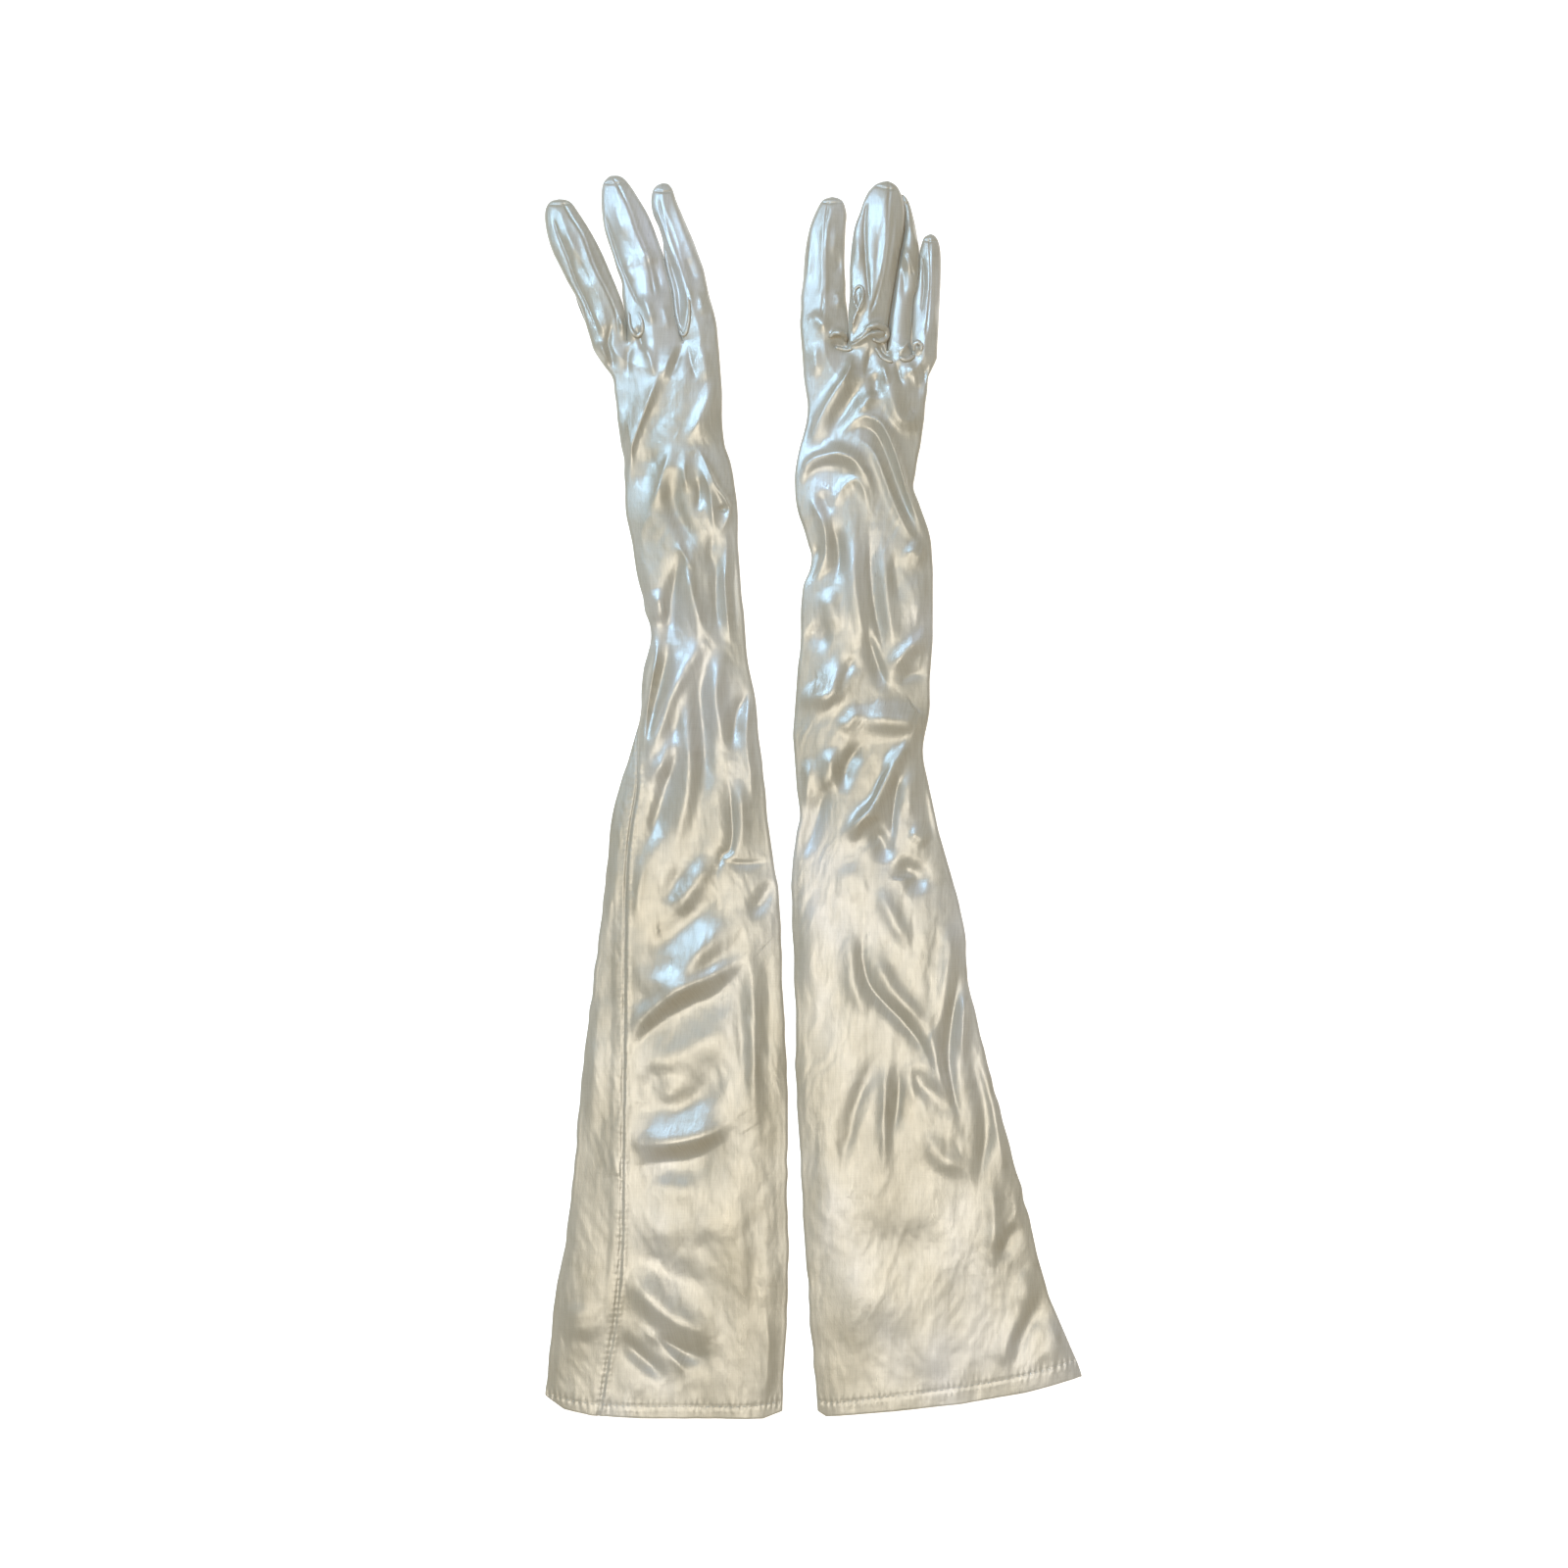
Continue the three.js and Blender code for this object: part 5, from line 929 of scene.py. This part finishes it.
    # weave: floats of the warp with a weft crossing every few threads, and fine creases
    w1 = node("ShaderNodeTexWave", wave_type="BANDS", bands_direction="X", wave_profile="SIN")
    w1.inputs["Scale"].default_value = 1.0
    w1.inputs["Distortion"].default_value = 1.6
    w1.inputs["Detail"].default_value = 2.0
    w1.inputs["Detail Scale"].default_value = 0.6
    L.new(mapped(620, 60), w1.inputs["Vector"])
    w2 = node("ShaderNodeTexWave", wave_type="BANDS", bands_direction="Y", wave_profile="SIN")
    w2.inputs["Scale"].default_value = 1.0
    w2.inputs["Distortion"].default_value = 1.2
    w2.inputs["Detail"].default_value = 1.0
    L.new(mapped(60, 540), w2.inputs["Vector"])
    weave = math_("ADD", math_("MULTIPLY", w1.outputs[1], 0.6), math_("MULTIPLY", w2.outputs[1], 0.4))
    crease = tex(420, 150, 3.0, 0.6, 0.35, 0.6)
    h = math_("ADD", math_("MULTIPLY", weave, 0.000020), math_("MULTIPLY", crease, 0.00010))
    h = math_("ADD", h, math_("MULTIPLY", tex(1500, 900, 2.0), 0.00002))
    b = node("ShaderNodeBump")
    b.inputs["Strength"].default_value = LOOK["bump"]
    b.inputs["Distance"].default_value = 1.0
    L.new(h, b.inputs["Height"])
    L.new(b.outputs[0], p.inputs["Normal"])
    return m


BACK = satin("back satin")
# the palm side and fourchette copies are the same satin made a little darker: painted shade for the cloth under the
# hand and between the fingers
PALM_SHADED = satin("palm side satin with painted shade", shade=0.985)
FOUR_SHADED = satin("fourchette satin with painted shade", shade=0.99)
THREAD = satin("sewing thread", shade=1.06)

# ------------------------------------------------------------------ tubes of cloth
NT, NB = (150, 46) if FINE else (80, 24)
STEP = 1.0 if FINE else 2.0
CLOTH = 0.35


def spread(n, c=0.8):
    s = np.linspace(0, 1, n)
    return (1 - c) * s + c * (1 - np.cos(math.pi * s)) / 2


def bottom_z(P, d, ze, zb, seed):
    q = np.clip(d / 3.2, 0, 1)
    prof = np.sqrt(np.clip(1 - (1 - q) ** 2.2, 0, 1))
    x, y = P[:, 0], P[:, 1]
    w = noise(x / 13 + 3, y / 41, seed) * 0.35 + noise(x / 24 + y / 60, y / 90, seed + 1) * 0.35
    w += 0.04 * noise(x / 3, y / 8, seed + 2)
    return ze - (ze - zb) * prof + np.clip(w + 0.25, 0, 1.2) * smooth(1, 6, d)


def grid(g, xy_top, xy_bot, lev, lower=None):
    """xy_top (rows, nt, 2) and xy_bot (rows, nb, 2) to P (rows, nt + nb, 3)."""
    out = []
    for k, xy in enumerate((xy_top, xy_bot)):
        r, c = xy.shape[:2]
        P = xy.reshape(-1, 2)
        if lower is None:
            d = g.distance(P)
        else:
            d = seg_dist(P, lower[0], lower[1], 24.0)
        ze, zb, T, R = (np.broadcast_to(v, (r, c)).reshape(-1) for v in lev(xy))
        if k == 0:
            z = g.surface(P, d, ze, T, R, lower is not None)
        else:
            z = bottom_z(P, d, ze, zb, 71 if g.side == "left" else 83)
        out.append(np.dstack([xy, z.reshape(r, c)]))
    return np.concatenate(out, 1)


def arm_levels(g):
    def lev(xy):
        y = xy[..., 1]
        zb = g.tab("zb", y)
        return zb + 1.4, zb, g.tab("T", y), g.tab("R", y)
    return lev


def body_rows(g, ys, slant=None):
    """A tube's rows at the heights ys, straight across or following a curve f(u, y)."""
    ut, ub = spread(NT), spread(NB + 2, 0.6)[1:-1][::-1]
    res = []
    for u in (ut, ub):
        Yg = np.repeat(np.asarray(ys)[:, None], len(u), 1).astype(float)
        if slant is not None:
            Yg = slant(u[None, :], Yg)
        xl, xr = g.xl(Yg), g.xr(Yg)
        X = xl + (xr - xl) * u[None, :]
        res.append(np.dstack([X, Yg]))
    return res


def add_uv(o, P_full, tip):
    pass


def finish_shell(name, P, mat, tip=False, ext0=False, ext1=False, thick=CLOTH, more=()):
    Pn, n = shell(name, P, NT, tip, thick, ext0, ext1)
    o = make_mesh(name, [(Pn, n, True, tip, thick), *more], mat)
    return o, Pn, n


def flat_of(P):
    """The tube slit open and laid flat: greatest girth, length and area, in metres."""
    ring = np.linalg.norm(np.diff(np.concatenate([P, P[:, :1]], 1), axis=1), axis=-1).sum(1)
    mid = np.linalg.norm(np.diff(P.mean(1), axis=0), axis=-1)
    area = (0.5 * (ring[1:] + ring[:-1]) * mid).sum()
    return ring.max() * M, mid.sum() * M, area * M * M


def declare(o, P):
    w, l, a = flat_of(P)
    w, l = round(w * 1.01 + 0.0005, 4), round(l * 1.02 + 0.0005, 4)
    print("sheet", o.name, w, l, round(a, 6))


def jpos(name):
    j = [q for q in frame["joints"] if q["name"] == name][0]
    return np.array(j["pos_m"], float), np.array(j["axis"], float)


def side_nodes(s, *names):
    return [f"{s}_{n}" for n in names]


NODES = set(frame["nodes"]) if not isinstance(frame["nodes"], list) else {n["name"] if isinstance(n, dict) else n for n in frame["nodes"]}
made = {}
for s in SIDES:
    g = Glove(s)
    d = DATA[s]
    lev = arm_levels(g)
    # ---- upper arm, mouth to elbow, with the hem turned inside
    hem = np.array(d["hem"])

    def to_hem(u, Yg, hem=hem):
        hy = np.interp(u, hem[:, 0], hem[:, 1])
        f = (Yg - Y_MOUTH) / (Y_ELBOW - Y_MOUTH)
        f = np.clip(f, 0, None)
        return np.where(f <= 1, hy + (Y_ELBOW - hy) * f, Yg)

    ys = np.arange(Y_MOUTH, Y_ELBOW - 0.4 * STEP, STEP)
    ys = np.concatenate([ys, [Y_ELBOW, Y_ELBOW + STEP]])
    xt, xb = body_rows(g, ys, to_hem)
    P = grid(g, xt, xb, lev)
    hz = g.hem_shape(P[:, :NT].reshape(-1, 3)[:, :2]).reshape(-1, NT)
    P[:, :NT, 2] += hz
    # the hem turned inside: rows 0.85 mm within the tube, folded round at the mouth
    dv = np.gradient(P, axis=0)
    du = (np.roll(P, -1, 1) - np.roll(P, 1, 1)) / 2
    n = np.cross(du, dv)
    n /= np.maximum(np.linalg.norm(n, axis=-1, keepdims=True), 1e-9)
    turn = int(HEM_W / STEP)
    inside = P[1:turn][::-1] - n[1:turn][::-1] * 0.85
    fold = [P[:1] - n[:1] * 0.85, P[:1] - n[:1] * 0.62 - [0, 0.22, 0], P[:1] - n[:1] * 0.42 - [0, 0.30, 0],
            P[:1] - n[:1] * 0.2 - [0, 0.22, 0]]
    full = np.concatenate([inside, *fold, P], 0)
    o, Pn, nn = finish_shell(f"{s}_upper_arm_cloth", full, BACK, ext1=True)
    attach(o, f"{s}_upper_arm")
    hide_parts(*side_nodes(s, "upper_arm_back_panel", "upper_arm_front_panel", "hem_back", "hem_front",
                               "upper_arm_seam_allowance"))
    made[s, "upper"] = (o, P, full)
    # hem stitches
    st = stitches(g, P[:, :NT], s)
    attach(st, f"{s}_upper_arm")
    declare(o, full)
    # ---- forearm
    ys = np.concatenate([[Y_ELBOW - STEP], np.arange(Y_ELBOW, Y_WRIST - 0.4 * STEP, STEP), [Y_WRIST, Y_WRIST + STEP]])
    P = grid(g, *body_rows(g, ys), lev)
    o, Pn, nn = finish_shell(f"{s}_forearm_cloth", P, BACK, ext0=True, ext1=True)
    jp, ax = jpos(f"{s}_elbow_bend")
    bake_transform(o)
    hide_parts(*side_nodes(s, "forearm_back_panel", "forearm_front_panel", "forearm_seam_allowance"))
    declare(o, Pn)
    # ---- hand
    root = np.array(d["root"])
    sl = (root[1, 1] - root[0, 1]) / (root[1, 0] - root[0, 0])
    y_top = root[0, 1]

    def to_root(u, Yg, root=root, sl=sl, y_top=y_top):
        f = np.clip((Yg - (y_top - 28)) / 28, 0, None)
        x = root[0, 0] + (root[1, 0] - root[0, 0]) * u
        return Yg + (x - root[0, 0]) * sl * np.where(f < 1, f * f * (3 - 2 * f), 1)

    ys = np.concatenate([[Y_WRIST - STEP], np.arange(Y_WRIST, y_top - 0.4 * STEP, STEP), [y_top, y_top + 0.6]])
    P = grid(g, *body_rows(g, ys, to_root), lev)
    rolls = [curl(g, c) for c in d["curls"].get("hand", [])]
    o, Pn, nn = finish_shell(f"{s}_hand_cloth", P, BACK, ext0=True, ext1=True, more=rolls)
    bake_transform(o)
    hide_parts(*side_nodes(s, "hand_back_panel", "palm_panel"))
    declare(o, Pn)
    # ---- fingers
    for f, c in d["fingers"].items():
        name = f.split("_")[1]
        Lp, Rp = g.fing[f]
        length = 0.5 * (along(Lp)[-1] + along(Rp)[-1])
        n_rows = max(24, int(length / (0.75 * STEP)))
        t = np.linspace(0, 1, n_rows)
        t = np.sin(t * math.pi / 2) ** 0.5 * 0 + (0.35 * t + 0.65 * np.sin(t * math.pi / 2))
        PL, PR = resample(Lp, t), resample(Rp, t)
        low = f in d["lower"]
        # one guide row below the root, into the hand
        e = 0.6
        gl = PL[0] - (PL[1] - PL[0]) / max(np.linalg.norm(PL[1] - PL[0]), 1e-6) * e
        gr = PR[0] - (PR[1] - PR[0]) / max(np.linalg.norm(PR[1] - PR[0]), 1e-6) * e
        PL, PR, t = np.vstack([gl, PL]), np.vstack([gr, PR]), np.concatenate([[0], t])
        nt, nb = (54, 22) if FINE else (30, 12)
        ut, ub = spread(nt, 0.9), spread(nb + 2, 0.7)[1:-1][::-1]
        xt = PL[:, None] + (PR - PL)[:, None] * ut[None, :, None]
        xb = PL[:, None] + (PR - PL)[:, None] * ub[None, :, None]

        def lev_f(xy, t=t, f=f, low=low, g=g):
            tt = np.broadcast_to(t[:, None], xy.shape[:2])
            y = xy[..., 1]
            if low:
                zb = np.full(tt.shape, 0.1)
                return zb + 1.1, zb, np.full(tt.shape, 1.35), np.full(tt.shape, 6.0)
            zb0 = g.tab("zb", y)
            if f in ("left_ring", "right_middle"):
                zb = np.maximum(zb0, 2.9) + 0 * tt
            else:
                zb = zb0 * (1 - smooth(0.02, 0.42, tt)) + 0.1 * smooth(0.02, 0.42, tt)
            w = smooth(0.0, 0.3, tt)
            T = np.interp(tt, [0, .35, .8, 1], [3.5, 3.5, 3.0, 2.3]) * w + g.tab("T", y) * (1 - w)
            R = np.interp(tt, [0, .5, 1], [10.0, 9.0, 7.0]) * w + g.tab("R", y) * (1 - w)
            return zb + 1.4, zb, T, R

        lower = None
        if low:
            A = np.vstack([Lp[:-1], Rp[:-1]])
            B = np.vstack([Lp[1:], Rp[1:]])
            lower = (A, B)
        P = grid(g, xt, xb, lev_f, lower)
        if f == "right_ring":
            # the strip that shows between the middle and little fingers swells up
            Q = P[:, :nt]
            mR = g.fing["right_middle"][1]
            lL = g.fing["right_little"][0]
            xm = np.interp(Q[..., 1], mR[:, 1], mR[:, 0])
            xl_ = np.interp(Q[..., 1], lL[:, 1], lL[:, 0])
            tt = np.broadcast_to(t[:, None], Q.shape[:2])
            inside = smooth(-0.2, 2.2, Q[..., 0] - xm)
            dl = Q[..., 0] - xm
            edge = np.clip(np.minimum(dl, np.maximum(Rp[:, 0].max() * 0 + np.interp(Q[..., 1], Rp[:, 1], Rp[:, 0]) - Q[..., 0], 0)), 0, 9)
            lift = 3.6 * np.sqrt(np.clip(1 - (1 - np.clip(edge / 7, 0, 1)) ** 2, 0, 1)) * (1 - 0.75 * smooth(0.55, 1.0, tt))
            base = Q[..., 2]
            root_match = (1 - smooth(0.0, 0.12, tt))
            Hs = g.surface(Q.reshape(-1, 3)[:, :2], None, *[np.broadcast_to(v, Q.shape[:2]).reshape(-1)
                           for v in (g.tab("zb", Q[..., 1]) + 1.4, g.tab("T", Q[..., 1]), g.tab("R", Q[..., 1]))], False).reshape(Q.shape[:2])
            z = base + lift * inside
            w = root_match * smooth(-0.4, 0.6, Q[..., 0] - xm)
            Q[..., 2] = z * (1 - w) + Hs * w
            s_low = stroke_field(Q.reshape(-1, 3)[:, :2], g.lower_strokes).reshape(Q.shape[:2])
            Q[..., 2] += s_low * inside
        rolls = [curl(g, c_) for c_ in d["curls"].get(f, [])]
        o, Pn, nn = finish_shell(f"{f}_cloth", P, BACK, tip=True, ext0=True, more=rolls)
        declare(o, Pn[:-1])
        reps = [n for n in sorted(NODES) if n.startswith(f + "_")]
        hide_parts(*reps)
        made[f] = (o, P)
        if f == "left_little":
            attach(o, "left_little")
            continue
        jn = {"right_ring": "right_ring_swing"}.get(f, f"{f}_bend")
        jp, ax = jpos(jn)
        mid = 0.5 * (PL[1] + PR[1]) * M
        if f == "right_ring":
            dirn = np.array([0.0, 1.0])
        else:
            dirn = np.array([-ax[1], ax[0]])
            if dirn[1] < 0:
                dirn = -dirn
        dirn = dirn / np.linalg.norm(dirn)
        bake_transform(o)
    # ---- thumb, folded flat under the palm
    r0, r1 = np.array(d["thumb"]["root"]), np.array(d["thumb"]["tip"])
    ax_ = (r1 - r0) / np.linalg.norm(r1 - r0)
    perp = np.array([ax_[1], -ax_[0]])
    lenT = np.linalg.norm(r1 - r0)
    ts = np.linspace(0, 1, 60)
    half = np.interp(ts, [0, .45, .8, 1], [10.9, 10.2, 8.6, 7.4])
    arc = lenT - 7.4
    Lp = [r0 + ax_ * (a * arc) - perp * h for a, h in zip(ts, half)]
    Rp = [r0 + ax_ * (a * arc) + perp * h for a, h in zip(ts, half)]
    for a in np.linspace(0.1, 1, 14) * math.pi / 2:
        cpt = r0 + ax_ * (arc + 7.2 * math.sin(a))
        Lp.append(cpt - perp * 7.4 * math.cos(a))
        Rp.append(cpt + perp * 7.4 * math.cos(a))
    Lp, Rp = np.array(Lp), np.array(Rp)
    t = np.linspace(0, 1, 80 if FINE else 40)
    t = 0.4 * t + 0.6 * np.sin(t * math.pi / 2)
    PL, PR = resample(Lp, t), resample(Rp, t)
    nt, nb = 40, 24
    ut, ub = spread(nt, 0.9), spread(nb + 2, 0.7)[1:-1][::-1]
    xt = PL[:, None] + (PR - PL)[:, None] * ut[None, :, None]
    xb = PL[:, None] + (PR - PL)[:, None] * ub[None, :, None]
    A = np.vstack([Lp[:-1], Rp[:-1]])
    B = np.vstack([Lp[1:], Rp[1:]])

    def lev_t(xy):
        zb = np.full(xy.shape[:2], 0.1)
        return zb + 1.15, zb, np.full(xy.shape[:2], 1.1), np.full(xy.shape[:2], 6.0)

    P = grid(g, xt, xb, lev_t, (A, B))
    o, Pn, nn = finish_shell(f"{s}_thumb_cloth", P, PALM_SHADED, tip=True)
    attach(o, f"{s}_thumb")
    declare(o, Pn[:-1])
    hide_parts(*[n for n in sorted(NODES) if n.startswith(f"{s}_thumb_")])

# ------------------------------------------------------------------ floor, light
world = bpy.data.worlds.new("world")
scene.world = world
world.use_nodes = True
bg = world.node_tree.nodes["Background"]
bg.inputs[0].default_value = (*LIGHT["world"][0], 1)
bg.inputs[1].default_value = LIGHT["world"][1]

me = bpy.data.meshes.new("floor")
S = 25.0
me.from_pydata([(-S, -S, -0.0006), (S, -S, -0.0006), (S, S, -0.0006), (-S, S, -0.0006)], [], [(0, 1, 2, 3)])
floor = bpy.data.objects.new("floor", me)
scene.collection.objects.link(floor)
fm = bpy.data.materials.new("floor")
fm.use_nodes = True
fp = fm.node_tree.nodes["Principled BSDF"]
fp.inputs["Base Color"].default_value = (0.93, 0.93, 0.93, 1)
fp.inputs["Roughness"].default_value = 0.95
fp.inputs["Specular IOR Level"].default_value = 0.0
fp.inputs["Emission Color"].default_value = (1, 1, 1, 1)
fp.inputs["Emission Strength"].default_value = LIGHT["floor"]
me.materials.append(fm)


def area(name, az, el, dist, w, h, power, color):
    """An area light seen from the middle of the gloves at azimuth az (0 = +X, 90 = +Y) and elevation el."""
    l = bpy.data.lights.new(name, "AREA")
    l.shape = "RECTANGLE"
    l.size, l.size_y = w, h
    l.energy = power
    l.color = color
    o = bpy.data.objects.new(name, l)
    scene.collection.objects.link(o)
    a, e = math.radians(az), math.radians(el)
    from mathutils import Vector
    c = Vector((VIEW_X * M, VIEW_Y * M, 0))
    p = c + Vector((math.cos(a) * math.cos(e), math.sin(a) * math.cos(e), math.sin(e))) * dist
    o.location = p
    o.rotation_euler = (c - p).to_track_quat("-Z", "Y").to_euler()
    return o


for row in LIGHT["areas"]:
    area(*row)

scene.view_settings.view_transform = "Standard"
scene.view_settings.look = "None"
scene.view_settings.exposure = 0.0

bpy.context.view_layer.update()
